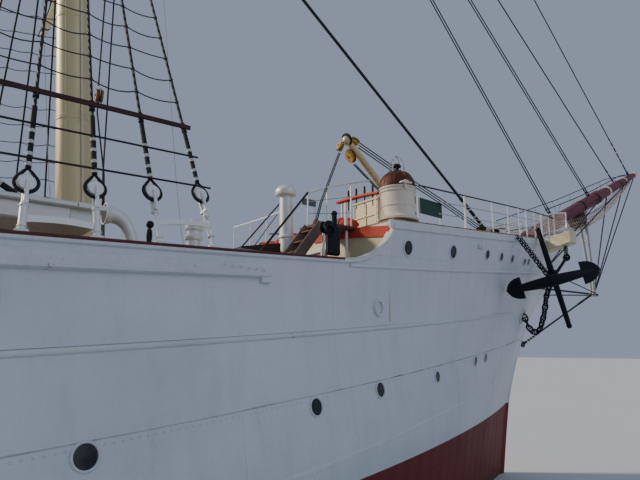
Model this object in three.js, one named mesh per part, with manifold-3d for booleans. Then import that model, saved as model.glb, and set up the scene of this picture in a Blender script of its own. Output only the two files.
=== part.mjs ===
// A steel three-masted full-rigged sailing ship with bare yards, as a 1:10 scale model.
// All sizes below are metres of the real ship. x runs forward, y to port and z up from the
// waterline, with the origin amidships. The outermost group turns them into model millimetres.
import * as THREE from "three";
import { mergeVertices } from "three/addons/utils/BufferGeometryUtils.js";
import Module from "manifold-3d";

const wasm = await Module();
wasm.setup();

const MODEL_MM_PER_METRE = 100;
const TOUCH = 0.003; // gap between pieces that rest on each other
const SEAT = 0.009; // the same on the curved sheer of a deck or rail
const PIN_GAP = 0.0045; // gap round a collar or a pin that turns
const DEG = Math.PI / 180;

// Hull
const KEEL_Z = -4.3;
const STEM_HALF_THICKNESS = 0.1;
const RAIL_MIDSHIPS_Z = 5.07;
const RAIL_SHEER_FORE = 0.00154;
const RAIL_SHEER_AFT = 0.0009;
const DECK_BELOW_RAIL = 1.4;
const PAINT_LINE_MIDSHIPS_Z = 1.6;
const PAINT_LINE_SHEER = 0.00057;
const DECK_PLANK = 0.08;
const BULWARK_THICKNESS = 0.12;
const CAP_RAIL_HEIGHT = 0.1;
const CAP_RAIL_OUT = 0.07;
const CAP_RAIL_IN = 0.22;
const DECK_INSET = 0.16;

// Forecastle and poop
const FORECASTLE_AFT_X = 27.1;
const SWEEP_LENGTH = 1.6;
const FORECASTLE_ABOVE_RAIL = 0.915;
const FORECASTLE_EXTRA_SHEER = 0.012;
const BOWSPRIT = {
  tip: [50.5, 14.05], angle: 24.3, inboard: 14.4, jib: 5.5, radius: 0.34, jibRadius: 0.29, tipRadius: 0.14,
};
const POOP_FORE_X = -22.5;
const POOP_ABOVE_RAIL = 1.05;

// Rig
const MAST_SIDES = 16;
const MAST_COAT = { height: 0.4, flare: 0.12 };
const YARD_SIDES = 8;
const TRUSS_PIVOT = 0.62;
const TRUSS_OUT = 1.5; // centre of a yard on a truss
const PIVOT_RADIUS = 0.14;
const PIVOT_HALF = 0.14;
const FORK_PLATES = [[-0.28, -PIVOT_HALF - PIN_GAP], [PIVOT_HALF + PIN_GAP, 0.28]];
const GOOSENECK_OUT = -0.62;
const GOOSENECK_YOKE = 0.4;
const BOOM = { s: 5.6, length: 12.6, rise: 3, radius: 0.2 };
const GAFF = { s: 11.6, length: 9.2, rise: 38, radius: 0.15 };

const RED = 0x54201f;
const WHITE = 0xdfe3e6;
const BUFF = 0xc0b078;
const WOOD = 0x9a7650;
const MAROON = 0x5a1f2e;
const BLACK = 0x15181d;
const STRIKER_GREY = 0x8d9499;
const BRONZE = 0x7c6334;

const material = (color, roughness = 0.5, metalness = 0) =>
  new THREE.MeshStandardMaterial({ color, roughness, metalness });

// A smooth curve through the rows of a table: column "key" against column "z".
function smooth(table, key, z) {
  const last = table.length - 1;
  if (z <= table[0].z) return table[0][key];
  if (z >= table[last].z) return table[last][key];
  let i = 0;
  while (table[i + 1].z < z) i += 1;
  const rise = (k) => (table[k + 1][key] - table[k][key]) / (table[k + 1].z - table[k].z);
  const slope = (k) => {
    if (k === 0) return rise(0);
    if (k === last) return rise(last - 1);
    const before = rise(k - 1);
    const after = rise(k);
    return before * after <= 0 ? 0 : (2 * before * after) / (before + after);
  };
  const span = table[i + 1].z - table[i].z;
  const t = (z - table[i].z) / span;
  const a = table[i][key];
  const b = table[i + 1][key];
  return (
    (2 * t ** 3 - 3 * t ** 2 + 1) * a + (t ** 3 - 2 * t ** 2 + t) * span * slope(i) +
    (3 * t ** 2 - 2 * t ** 3) * b + (t ** 3 - t ** 2) * span * slope(i + 1)
  );
}

// The hull's waterlines: ends, half breadth, and the length and power of entry and run.
const WATERLINES = [
  { z: -4.3, stern: -35, stem: 32.4, half: 0.3, entry: 26, entryPower: 1.2, run: 30, runPower: 1.2 },
  { z: -4.05, stern: -35, stem: 33.6, half: 3.1, entry: 30, entryPower: 1.6, run: 34, runPower: 2.2 },
  { z: -3.6, stern: -35, stem: 34.5, half: 4.8, entry: 28, entryPower: 1.4, run: 33, runPower: 2.1 },
  { z: -2.6, stern: -35, stem: 35.3, half: 5.8, entry: 26, entryPower: 1.25, run: 32, runPower: 1.9 },
  { z: -1.0, stern: -35, stem: 35.9, half: 6.2, entry: 25, entryPower: 1.12, run: 31, runPower: 1.6 },
  { z: 1.0, stern: -35, stem: 36.4, half: 6.3, entry: 24.5, entryPower: 1.04, run: 29, runPower: 1.2 },
  { z: 2.2, stern: -36.8, stem: 36.68, half: 6.3, entry: 24, entryPower: 1, run: 28, runPower: 0.95 },
  { z: 3.2, stern: -39.2, stem: 37.08, half: 6.3, entry: 27, entryPower: 0.92, run: 27, runPower: 0.75 },
  { z: 4.2, stern: -41, stem: 37.6, half: 6.25, entry: 31, entryPower: 0.84, run: 25, runPower: 0.62 },
  { z: 5.5, stern: -41.9, stem: 38.5, half: 6.2, entry: 36, entryPower: 0.76, run: 24, runPower: 0.53 },
  { z: 7.0, stern: -42.2, stem: 40.2, half: 6.1, entry: 40, entryPower: 0.7, run: 24, runPower: 0.5 },
  { z: 8.2, stern: -42.3, stem: 41.35, half: 6.05, entry: 41, entryPower: 0.68, run: 24, runPower: 0.48 },
  { z: 9.4, stern: -42.4, stem: 42.0, half: 6.0, entry: 42, entryPower: 0.66, run: 24, runPower: 0.48 },
];
const sternX = (z) => smooth(WATERLINES, "stern", z);
const stemX = (z) => smooth(WATERLINES, "stem", z);

const railZ = (x) => RAIL_MIDSHIPS_Z + (x > 0 ? RAIL_SHEER_FORE : RAIL_SHEER_AFT) * x * x;
const deckZ = (x) => railZ(x) - DECK_BELOW_RAIL;
const paintZ = (x) => PAINT_LINE_MIDSHIPS_Z + PAINT_LINE_SHEER * x * x;
const forecastleZ = (x) =>
  railZ(x) + FORECASTLE_ABOVE_RAIL + FORECASTLE_EXTRA_SHEER * (x - FORECASTLE_AFT_X);
const poopZ = (x) => railZ(x) + POOP_ABOVE_RAIL;

// Half breadth of the hull at a place: full amidships, closing to the stem and the stern.
function halfBreadth(x, z) {
  const closing = (distance, length, power) => {
    const t = Math.min(Math.max(distance / length, 0), 1);
    return (1 - (1 - t) ** 2) ** power;
  };
  const fore = closing(
    stemX(z) - x, smooth(WATERLINES, "entry", z), smooth(WATERLINES, "entryPower", z));
  const aft = closing(
    x - sternX(z), smooth(WATERLINES, "run", z), smooth(WATERLINES, "runPower", z));
  return Math.max(smooth(WATERLINES, "half", z) * fore * aft, STEM_HALF_THICKNESS);
}

const positionsOnly = (geometry) => {
  const bare = geometry.clone();
  for (const name of Object.keys(bare.attributes)) {
    if (name !== "position") bare.deleteAttribute(name);
  }
  return mergeVertices(bare, 1e-5);
};

// A closed geometry as a solid that can be joined and cut.
function solid(geometry) {
  const merged = positionsOnly(geometry);
  const index = merged.index.array;
  const kept = [];
  for (let i = 0; i < index.length; i += 3) {
    const [a, b, c] = [index[i], index[i + 1], index[i + 2]];
    if (a !== b && b !== c && a !== c) kept.push(a, b, c);
  }
  return new wasm.Manifold(new wasm.Mesh({
    numProp: 3,
    vertProperties: new Float32Array(merged.attributes.position.array),
    triVerts: new Uint32Array(kept),
  }));
}

const join = (parts) => parts.reduce((whole, part) => whole.add(part));

function toGeometry(body) {
  const mesh = body.getMesh();
  const geometry = new THREE.BufferGeometry();
  geometry.setAttribute("position", new THREE.BufferAttribute(mesh.vertProperties, 3));
  geometry.setIndex(new THREE.BufferAttribute(mesh.triVerts, 1));
  return geometry;
}

// A closed body from rings of points; every ring has as many points, in the same order.
function loft(rings, flipped = false) {
  const count = rings[0].length;
  const points = rings.flat();
  const triangles = [];
  for (let r = 0; r + 1 < rings.length; r += 1) {
    for (let k = 0; k < count; k += 1) {
      const next = (k + 1) % count;
      const [a, b] = [r * count + k, r * count + next];
      const [c, d] = [a + count, b + count];
      triangles.push([a, c, b], [b, c, d]);
    }
  }
  const half = count / 2;
  for (const [ring, turned] of [[0, false], [rings.length - 1, true]]) {
    for (let k = 0; k + 1 < half; k += 1) {
      const [a, b] = [ring * count + k, ring * count + k + 1];
      const [c, d] = [ring * count + count - 1 - k, ring * count + count - 2 - k];
      triangles.push(...(turned ? [[a, c, b], [b, c, d]] : [[a, b, c], [b, d, c]]));
    }
  }
  const geometry = new THREE.BufferGeometry();
  geometry.setAttribute("position", new THREE.Float32BufferAttribute(points.flat(), 3));
  geometry.setIndex((flipped ? triangles.map(([a, b, c]) => [a, c, b]) : triangles).flat());
  return geometry;
}

// A stretch of the hull between two ends and two heights, both sides and its flat top and bottom.
function hullStretch({ aft, fore, low, high, steps, levels, inset = 0 }) {
  const rings = [];
  for (let i = 0; i <= steps; i += 1) {
    const along = (1 - Math.cos((Math.PI * i) / steps)) / 2;
    const side = [];
    for (let j = 0; j <= levels; j += 1) {
      let x = 0;
      let z = 0;
      for (let pass = 0; pass < 12; pass += 1) {
        z = THREE.MathUtils.lerp(low(x), high(x), j / levels);
        x = THREE.MathUtils.lerp(aft(z) + inset, fore(z) - inset, along);
      }
      side.push([x, Math.max(halfBreadth(x, z) - inset, STEM_HALF_THICKNESS * 0.5), z]);
    }
    rings.push([...side.map(([x, y, z]) => [x, -y, z]), ...side.map(([x, y, z]) => [x, y, z]).reverse()]);
  }
  return loft(rings);
}

// A round bar from one point to another.
function bar(from, to, radius, endRadius = radius, sides = 6) {
  const start = new THREE.Vector3(...from);
  const end = new THREE.Vector3(...to);
  const geometry = new THREE.CylinderGeometry(endRadius, radius, start.distanceTo(end), sides);
  const middle = start.clone().add(end).multiplyScalar(0.5);
  const turn = new THREE.Quaternion().setFromUnitVectors(
    new THREE.Vector3(0, 1, 0), end.clone().sub(start).normalize());
  return geometry.applyMatrix4(
    new THREE.Matrix4().compose(middle, turn, new THREE.Vector3(1, 1, 1)));
}

// A lathe-turned body standing on z, from [radius, height] pairs.
function turned(profile, sides = 12) {
  const points = profile.map(([radius, height]) => new THREE.Vector2(radius, height));
  return new THREE.LatheGeometry(points, sides).rotateX(Math.PI / 2);
}

// A box-like body whose underside follows the two ends of a sloping deck.
function deckBlock(aftX, foreX, lowY, highY, foot, top) {
  const ring = (x) => [[x, lowY, foot(x)], [x, lowY, top], [x, highY, top], [x, highY, foot(x)]];
  return loft([ring(aftX), ring(foreX)]);
}

function block(size, centre) {
  return new THREE.BoxGeometry(...size).translate(...centre);
}

const ship = new THREE.Group();
ship.scale.setScalar(MODEL_MM_PER_METRE);

function add(name, geometry, finish, parent = ship) {
  const mesh = new THREE.Mesh(geometry, finish);
  mesh.name = name;
  parent.add(mesh);
  return mesh;
}

// Hull below and above the paint line
const PROPELLER = { x: -33.75, z: -2.1, radius: 1.25, shaft: 0.2 };
const APERTURE = { aft: -34.45, fore: -33.05, low: -3.5, high: -0.7 };
const RUDDER = { axisX: -35.25, stock: 0.15, blade: 1.75, low: -4.1, high: 1.15 };
{
  const body = solid(hullStretch({
    aft: sternX, fore: stemX, low: () => KEEL_Z, high: (x) => paintZ(x) - TOUCH, steps: 24, levels: 10,
  }));
  const aperture = solid(block(
    [APERTURE.fore - APERTURE.aft, 4, APERTURE.high - APERTURE.low],
    [(APERTURE.fore + APERTURE.aft) / 2, 0, (APERTURE.high + APERTURE.low) / 2]));
  const heelLength = 1.2;
  const heel = solid(block([heelLength, 0.24, 0.17], [RUDDER.axisX + 0.3, 0, KEEL_Z + 0.085]));
  const trunk = solid(bar(
    [RUDDER.axisX, 0, 0.8], [RUDDER.axisX, 0, 4.6], RUDDER.stock + 0.06, RUDDER.stock + 0.06, 12));
  const sternTube = solid(bar(
    [APERTURE.fore + 2.5, 0, PROPELLER.z], [APERTURE.fore - 0.1, 0, PROPELLER.z],
    0.32, PROPELLER.shaft + 0.02, 12));
  add("hull_bottom", toGeometry(body.subtract(aperture).add(heel).add(sternTube).subtract(trunk)),
    material(RED, 0.6));
  const top = solid(hullStretch({
    aft: sternX, fore: stemX, low: (x) => paintZ(x), high: (x) => deckZ(x), steps: 28, levels: 4,
  }));
  add("hull_topsides", toGeometry(top.subtract(trunk)), material(WHITE, 0.4));
}

// Main deck between forecastle and poop, with the main hatch standing on it
const MAIN_HATCH = { x: 4.6, length: 4.6, width: 3.6, height: 0.75 };
// A low store house ahead of the fore mast, with a mushroom ventilator on its roof
const STORE = { x: 25.4, length: 2.4, width: 4.2, roof: 6.45, ventX: 25.86, ventY: -1.5 };
function deckSlab(aftX, foreX, surface, steps, inset) {
  return hullStretch({
    aft: aftX, fore: foreX, low: (x) => surface(x) + SEAT, high: (x) => surface(x) + DECK_PLANK,
    steps, levels: 1, inset,
  });
}
const deckTop = (x) => deckZ(x) + DECK_PLANK;
const constant = (value) => () => value;
// A height inside a deck's planks, where what is built on the deck is joined to it
const inDeck = (surface) => (x) => surface(x) + DECK_PLANK * 0.75;
{
  const planks = solid(deckSlab(
    constant(POOP_FORE_X + TOUCH - DECK_INSET), constant(FORECASTLE_AFT_X - TOUCH + DECK_INSET),
    deckZ, 20, DECK_INSET));
  const { x, length, width, height } = MAIN_HATCH;
  const hatch = solid(deckBlock(
    x - length / 2, x + length / 2, -width / 2, width / 2, inDeck(deckZ), deckZ(x) + height));
  const store = solid(deckBlock(
    STORE.x - STORE.length / 2, STORE.x + STORE.length / 2, -STORE.width / 2, STORE.width / 2,
    inDeck(deckZ), STORE.roof));
  const trunk = solid(turned([
    [0, -0.05], [0.185, -0.05], [0.185, 1.58], [0.26, 1.6], [0.26, 1.74], [0.2, 1.83], [0, 1.87],
  ]).translate(STORE.ventX, STORE.ventY, STORE.roof));
  add("main_deck", toGeometry(join([planks, hatch, store, trunk])), material(WOOD, 0.7));
}

// Bulwarks with their cap rail, swept up to the forecastle at the fore end
function sweep(x) {
  const t = THREE.MathUtils.clamp((x - (FORECASTLE_AFT_X - SWEEP_LENGTH)) / SWEEP_LENGTH, 0, 1);
  return (forecastleZ(x) - railZ(x)) * (1 - Math.sqrt(1 - t * t));
}
function bulwark(side) {
  const stations = [];
  const evenSteps = 14;
  const sweepSteps = 7;
  const aft = POOP_FORE_X + TOUCH;
  const sweepStart = FORECASTLE_AFT_X - SWEEP_LENGTH;
  for (let i = 0; i <= evenSteps; i += 1) stations.push(aft + ((sweepStart - aft) * i) / evenSteps);
  for (let i = 1; i <= sweepSteps; i += 1) {
    stations.push(sweepStart + (SWEEP_LENGTH - TOUCH) * Math.sin((Math.PI / 2) * (i / sweepSteps)));
  }
  const rings = stations.map((x) => {
    const low = deckZ(x) + SEAT;
    const high = railZ(x) + sweep(x);
    const under = high - CAP_RAIL_HEIGHT;
    const foot = halfBreadth(x, low);
    const top = halfBreadth(x, high);
    return [
      [x, foot, low], [x, top, under], [x, top + CAP_RAIL_OUT, under], [x, top + CAP_RAIL_OUT, high],
      [x, top - CAP_RAIL_IN, high], [x, top - CAP_RAIL_IN, under], [x, top - BULWARK_THICKNESS, under],
      [x, foot - BULWARK_THICKNESS, low],
    ].map(([px, py, pz]) => [px, py * side, pz]);
  });
  return toGeometry(solid(loft(rings, side > 0)));
}
add("bulwark_starboard", bulwark(-1), material(WHITE, 0.4));
add("bulwark_port", bulwark(1), material(WHITE, 0.4));

// A place on the bowsprit, by its distance in from the tip and its drop square below the axis.
const onBowsprit = (distance, drop = 0) => {
  const a = BOWSPRIT.angle * DEG;
  return [
    BOWSPRIT.tip[0] - Math.cos(a) * distance + Math.sin(a) * drop, 0,
    BOWSPRIT.tip[1] - Math.sin(a) * distance - Math.cos(a) * drop,
  ];
};
// The housing for the bowsprit's heel, cut through the forecastle's head
const bowspritHousing = () => solid(bar(
  onBowsprit(BOWSPRIT.inboard + TOUCH), onBowsprit(BOWSPRIT.jib), BOWSPRIT.radius + 0.02,
  BOWSPRIT.radius + 0.02, MAST_SIDES));

// Raised forecastle and poop, each a closed body with its deck
const forecastleTop = (x) => forecastleZ(x) + DECK_PLANK;
const CATHEAD = { x: 36.85, inner: 1.4, side: 2.0, outer: 3.05, width: 0.46, depth: 0.44, rise: 0.19 };
const catheadTop = (y) =>
  forecastleZ(CATHEAD.x - CATHEAD.width / 2) + CATHEAD.rise * Math.max(y - CATHEAD.side, 0);
function cathead(side) {
  const { x, inner, outer, width, depth } = CATHEAD;
  const ring = (y) => [
    [x - width / 2, y * side, catheadTop(y) - depth], [x + width / 2, y * side, catheadTop(y) - depth],
    [x + width / 2, y * side, catheadTop(y)], [x - width / 2, y * side, catheadTop(y)]];
  return solid(loft([ring(inner), ring(CATHEAD.side), ring(outer)], side < 0));
}
add("forecastle", toGeometry(join([
  solid(hullStretch({
    aft: constant(FORECASTLE_AFT_X), fore: stemX, low: (x) => deckZ(x) + SEAT, high: forecastleZ,
    steps: 14, levels: 5,
  })), cathead(-1), cathead(1)]).subtract(bowspritHousing())), material(WHITE, 0.4));
add("forecastle_deck", toGeometry(solid(
  deckSlab(constant(FORECASTLE_AFT_X), stemX, forecastleZ, 12, DECK_INSET),
).subtract(bowspritHousing())), material(WOOD, 0.7));
add("poop", hullStretch({
  aft: sternX, fore: constant(POOP_FORE_X), low: (x) => deckZ(x) + SEAT, high: poopZ, steps: 18, levels: 4,
}), material(WHITE, 0.4));
const poopTop = (x) => poopZ(x) + DECK_PLANK;
const WHEEL = { x: -36.5, rise: 1.15, radius: 0.75 };
{
  const planks = solid(deckSlab(sternX, constant(POOP_FORE_X), poopZ, 14, DECK_INSET));
  const boxLength = 1.5;
  const boxHeight = WHEEL.rise + 0.2;
  const foreEnd = WHEEL.x - 0.12 - TOUCH;
  const gearBox = solid(deckBlock(
    foreEnd - boxLength, foreEnd, -0.55, 0.55, inDeck(poopZ), poopTop(WHEEL.x) + boxHeight));
  add("poop_deck", toGeometry(planks.add(gearBox)), material(WOOD, 0.7));
}

// Masts. "s" is the distance up the mast from the deck; "out" is the distance ahead of its centre.
const MASTS = [
  {
    name: "fore", x: 21.57, rake: 5.1, radius: 0.375, deck: deckTop, top: 15.9, cross: 29.8, truck: 37.8,
    backstays: [5.3, 6.1, 6.9, 7.7],
  },
  {
    name: "main", x: -0.6, rake: 4.5, radius: 0.37, deck: deckTop, top: 16.2, cross: 30.4, truck: 38.6,
    backstays: [5.3, 6.1, 6.9, 7.7],
  },
  {
    name: "mizzen", x: -21.2, rake: 5.5, radius: 0.33, deck: deckTop, top: 14.6, cross: 26.4, truck: 34.2,
    backstays: [4.0, 4.3, 4.6],
  },
];
function onMast(mast, s, out = 0, y = 0) {
  const rake = mast.rake * DEG;
  return [
    mast.x - Math.sin(rake) * s + Math.cos(rake) * out, y,
    mast.deck(mast.x) + Math.cos(rake) * s + Math.sin(rake) * out,
  ];
}
const mastRadius = (mast, s) => mast.radius * (1 - 0.36 * (s / (mast.cross + 2)));
const TOPGALLANT = { out: 0.46, below: 1.3, radius: 0.19, truckRadius: 0.07 };
// Yards. "lift" is the height above the top or the crosstrees; "drop" lowers it as it is stowed.
const YARDS = [
  { name: "course", from: "top", lift: -2.3, radius: 0.28, half: 12.8, out: TRUSS_OUT, truss: true },
  { name: "lower_topsail", from: "top", lift: 1.7, radius: 0.25, half: 11.4, out: TRUSS_OUT, truss: true },
  { name: "upper_topsail", from: "top", lift: 3.6, radius: 0.23, half: 10.4, out: 0.72, truss: false },
  { name: "topgallant", from: "cross", lift: 2.4, radius: 0.19, half: 8.3, out: 1.0, truss: false },
  { name: "royal", from: "cross", lift: 5.2, radius: 0.15, half: 6.4, out: 0.9, truss: false },
];
const YARD_SCALE = { fore: 0.97, main: 1, mizzen: 0.79 };
const yardHeight = (mast, yard) => mast[yard.from] + yard.lift;
const topgallantRadius = (mast, s) => THREE.MathUtils.mapLinear(
  s, mast.cross - TOPGALLANT.below, mast.truck, TOPGALLANT.radius, TOPGALLANT.truckRadius);

// A stay cut to the surface of the spar that it lands on
function cutStay(from, to, radius, cuts) {
  const kept = cuts.reduce((rest, cut) => rest.subtract(cut), solid(bar(from, to, radius, radius, 6)));
  return kept.decompose().reduce((best, piece) => (piece.volume() > best.volume() ? piece : best));
}
const mastClearance = (mast, s) => solid(bar(
  onMast(mast, s - 1.2), onMast(mast, s + 0.8), mastRadius(mast, s - 1.2) + TOUCH,
  mastRadius(mast, s + 0.8) + TOUCH, MAST_SIDES));
const bowspritClearance = () => join([
  bar(
    onBowsprit(BOWSPRIT.inboard), onBowsprit(BOWSPRIT.jib), BOWSPRIT.radius + TOUCH,
    BOWSPRIT.jibRadius + TOUCH, MAST_SIDES),
  bar(
    onBowsprit(BOWSPRIT.jib + 0.1), onBowsprit(-0.1), BOWSPRIT.jibRadius + TOUCH,
    BOWSPRIT.tipRadius + TOUCH, MAST_SIDES)].map(solid));
// The high stays that a mast carries: the outer jib stay, and those to the mast ahead, with the height
// below their heads and where they land on that mast
const OUTER_JIB_STAY = { below: 0.85, distance: 3, radius: 0.03 };
const HIGH_STAYS = {
  main: [["cross", 2.2, 0.1, 14.7], ["truck", 1.2, TOPGALLANT.out, 28.2]],
  mizzen: [["cross", 2.0, 0.1, 15.0], ["truck", 1.2, TOPGALLANT.out, 24.5]],
};
function highStays(mast) {
  if (mast.name === "fore") {
    return [cutStay(
      onMast(mast, mast.cross - OUTER_JIB_STAY.below, TOPGALLANT.out), onBowsprit(OUTER_JIB_STAY.distance),
      OUTER_JIB_STAY.radius, [bowspritClearance()])];
  }
  const ahead = MASTS[MASTS.indexOf(mast) - 1];
  return HIGH_STAYS[mast.name].map(([from, below, out, landing]) => cutStay(
    onMast(mast, mast[from] - below, out), onMast(ahead, landing, -0.1), 0.03,
    [mastClearance(ahead, landing)]));
}

// Feet of the shrouds and backstays, just over the cap rail or the poop's planks
const SHROUDS = {
  legs: 6, spacing: 0.915, radius: 0.04, firstAhead: 0.94, battenRise: 2.17, sides: 4, stack: 0.2,
  inset: 0.1, poopInset: 0.3, footRise: 0.025,
};
function riggingFoot(x, side) {
  const onPoop = x < POOP_FORE_X;
  const z = onPoop ? poopTop(x) : railZ(x);
  return [x, (halfBreadth(x, z) - (onPoop ? SHROUDS.poopInset : SHROUDS.inset)) * side, z + SHROUDS.footRise];
}
const shroudFoot = (mast, leg, side) => riggingFoot(
  mast.x + SHROUDS.firstAhead - leg * SHROUDS.spacing, side);
// Topmast shrouds, from the rim of the top to the cap below the crosstrees
const TOPMAST_SHROUDS = { outs: [-0.94, -0.76, -0.58], rim: 1.4, head: 0.25, radius: 0.03, sides: 4 };
// Heads of the backstays, in the order of their feet
const BACKSTAY_HEADS = [
  { from: "cross", below: 1.4, out: 0, y: 0.16 }, { from: "cross", below: 1.7, out: 0, y: 0.16 },
  { from: "truck", below: 3.2, out: TOPGALLANT.out, y: 0.06 },
  { from: "truck", below: 0.9, out: TOPGALLANT.out, y: 0.04 },
];
const BACKSTAY_RADIUS = 0.03;

for (const mast of MASTS) {
  const head = mast.cross + 2;
  const coatRadius = mast.radius + MAST_COAT.flare;
  const coatFoot = Math.max(mast.deck(mast.x + coatRadius), mast.deck(mast.x - coatRadius)) + SEAT;
  const parts = [
    solid(bar(onMast(mast, 0.15), onMast(mast, head), mast.radius, mastRadius(mast, head), MAST_SIDES)),
    solid(bar(
      [mast.x, 0, coatFoot], [mast.x, 0, mast.deck(mast.x) + MAST_COAT.height],
      coatRadius, mast.radius + 0.03, MAST_SIDES)),
    solid(bar(
      onMast(mast, mast.cross - TOPGALLANT.below, TOPGALLANT.out), onMast(mast, mast.truck, TOPGALLANT.out),
      TOPGALLANT.radius, TOPGALLANT.truckRadius, MAST_SIDES)),
  ];
  const tilted = (geometry) => geometry.rotateY(-mast.rake * DEG);
  const top = new THREE.Shape();
  const [topHalf, topAft, topFore] = [1.75, -1.0, 0.75];
  top.moveTo(topAft, -topHalf);
  top.lineTo(0.1, -topHalf);
  top.absellipse(0.1, 0, topFore, topHalf, -Math.PI / 2, Math.PI / 2, false, 0);
  top.lineTo(topAft, topHalf);
  const topPlate = new THREE.ExtrudeGeometry(top, { depth: 0.1, bevelEnabled: false, curveSegments: 6 });
  parts.push(solid(tilted(topPlate).translate(...onMast(mast, mast.top))));
  for (const s of [mast.cross - TOPGALLANT.below + 0.15, mast.cross, head - 0.3]) {
    parts.push(solid(tilted(block([1.15, 0.62, 0.16], [0.25, 0, 0])).translate(...onMast(mast, s))));
  }
  for (const out of [-0.42, 0.78]) {
    parts.push(solid(tilted(block([0.16, 2.3, 0.12], [out, 0, 0])).translate(...onMast(mast, mast.cross))));
  }
  for (const y of [-0.28, 0.28]) {
    parts.push(solid(tilted(block([1.4, 0.14, 0.14], [0.18, y, 0])).translate(...onMast(mast, mast.cross))));
  }
  const pivots = YARDS.filter((row) => row.truss).map((row) => [yardHeight(mast, row), TRUSS_PIVOT]);
  if (mast.name === "mizzen") pivots.push([BOOM.s, GOOSENECK_OUT], [GAFF.s, GOOSENECK_OUT]);
  for (const [s, out] of pivots) {
    parts.push(solid(bar(onMast(mast, s), onMast(mast, s, out), 0.13, 0.1, 8)));
    parts.push(solid(bar(
      onMast(mast, s - PIVOT_HALF, out), onMast(mast, s + PIVOT_HALF, out), PIVOT_RADIUS, PIVOT_RADIUS, 8)));
  }
  for (const side of [-1, 1]) {
    for (const out of TOPMAST_SHROUDS.outs) {
      parts.push(solid(bar(
        onMast(mast, mast.top + 0.05, out, side * TOPMAST_SHROUDS.rim),
        onMast(mast, mast.cross - 1.15, out * 0.15, side * TOPMAST_SHROUDS.head),
        TOPMAST_SHROUDS.radius, TOPMAST_SHROUDS.radius, TOPMAST_SHROUDS.sides)));
    }
    mast.backstays.forEach((back, i) => {
      const { from, below, out, y } = BACKSTAY_HEADS[i];
      parts.push(solid(bar(
        riggingFoot(mast.x - back, side), onMast(mast, mast[from] - below, out, side * y),
        BACKSTAY_RADIUS, BACKSTAY_RADIUS, 5)));
    });
  }
  parts.push(...highStays(mast));
  add(`${mast.name}_mast`, toGeometry(join(parts)), material(BUFF, 0.45));
}

// Yards, each with its sling fitting: a truss arm with a fork, or a collar round its mast
for (const mast of MASTS) {
  for (const yard of YARDS) {
    const s = yardHeight(mast, yard);
    const half = yard.half * YARD_SCALE[mast.name];
    const radius = yard.radius * (mast.name === "mizzen" ? 0.85 : 1);
    const armRadius = radius * 0.45;
    const spar = turned(
      [
        [0, -half], [armRadius, -half], [radius, -half * 0.3], [radius, half * 0.3], [armRadius, half],
        [0, half],
      ], YARD_SIDES);
    const parts = [solid(spar.rotateX(Math.PI / 2).translate(...onMast(mast, s, yard.out)))];
    if (yard.truss) {
      for (const [low, high] of FORK_PLATES) {
        parts.push(solid(bar(
          onMast(mast, s + low, TRUSS_PIVOT), onMast(mast, s + high, TRUSS_PIVOT),
          PIVOT_RADIUS, PIVOT_RADIUS, 8)));
        const middle = s + (low + high) / 2;
        parts.push(solid(bar(
          onMast(mast, middle, TRUSS_PIVOT + 0.05), onMast(mast, s + (middle - s) * 0.7, yard.out),
          0.045, 0.06, 6)));
      }
    } else {
      const onTopgallant = yard.from === "cross";
      const out = onTopgallant ? TOPGALLANT.out : 0;
      const inner = (onTopgallant ? topgallantRadius(mast, s - 0.16) : mastRadius(mast, s - 0.16)) + PIN_GAP;
      const bore = inner / Math.cos(Math.PI / MAST_SIDES);
      const ring = bar(
        onMast(mast, s - 0.15, out), onMast(mast, s + 0.15, out), bore + 0.08, bore + 0.08, MAST_SIDES);
      const hole = bar(onMast(mast, s - 0.3, out), onMast(mast, s + 0.3, out), bore, bore, MAST_SIDES);
      parts.push(solid(bar(
        onMast(mast, s, out + bore + 0.04), onMast(mast, s, yard.out), 0.09, 0.09, 6)));
      parts.push(solid(ring).subtract(solid(hole)));
    }
    add(`${mast.name}_${yard.name}_yard`, toGeometry(join(parts)), material(BUFF, 0.45));
  }
}

// Lower shrouds: legs from the rail to the hounds, tied by a wooden sheer batten near their feet
for (const mast of MASTS) {
  for (const [sideName, side] of [["starboard", -1], ["port", 1]]) {
    const feet = [];
    for (let leg = 0; leg < SHROUDS.legs; leg += 1) feet.push(shroudFoot(mast, leg, side));
    const hounds = feet.map((foot, leg) => onMast(
      mast, mast.top - 0.3 - SHROUDS.stack * leg, 0, side * (mastRadius(mast, mast.top) + 0.05)));
    const parts = feet.map((foot, leg) => solid(bar(
      foot, hounds[leg], SHROUDS.radius, SHROUDS.radius, SHROUDS.sides)));
    const atBatten = (leg) => {
      const t = SHROUDS.battenRise / (hounds[leg][2] - feet[leg][2]);
      return feet[leg].map((value, axis) => value + (hounds[leg][axis] - value) * t);
    };
    for (let leg = 0; leg + 1 < SHROUDS.legs; leg += 1) {
      parts.push(solid(bar(atBatten(leg), atBatten(leg + 1), 0.06, 0.06, SHROUDS.sides)));
    }
    add(`${mast.name}_shrouds_${sideName}`, toGeometry(join(parts)), material(BLACK, 0.7));
  }
}

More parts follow.
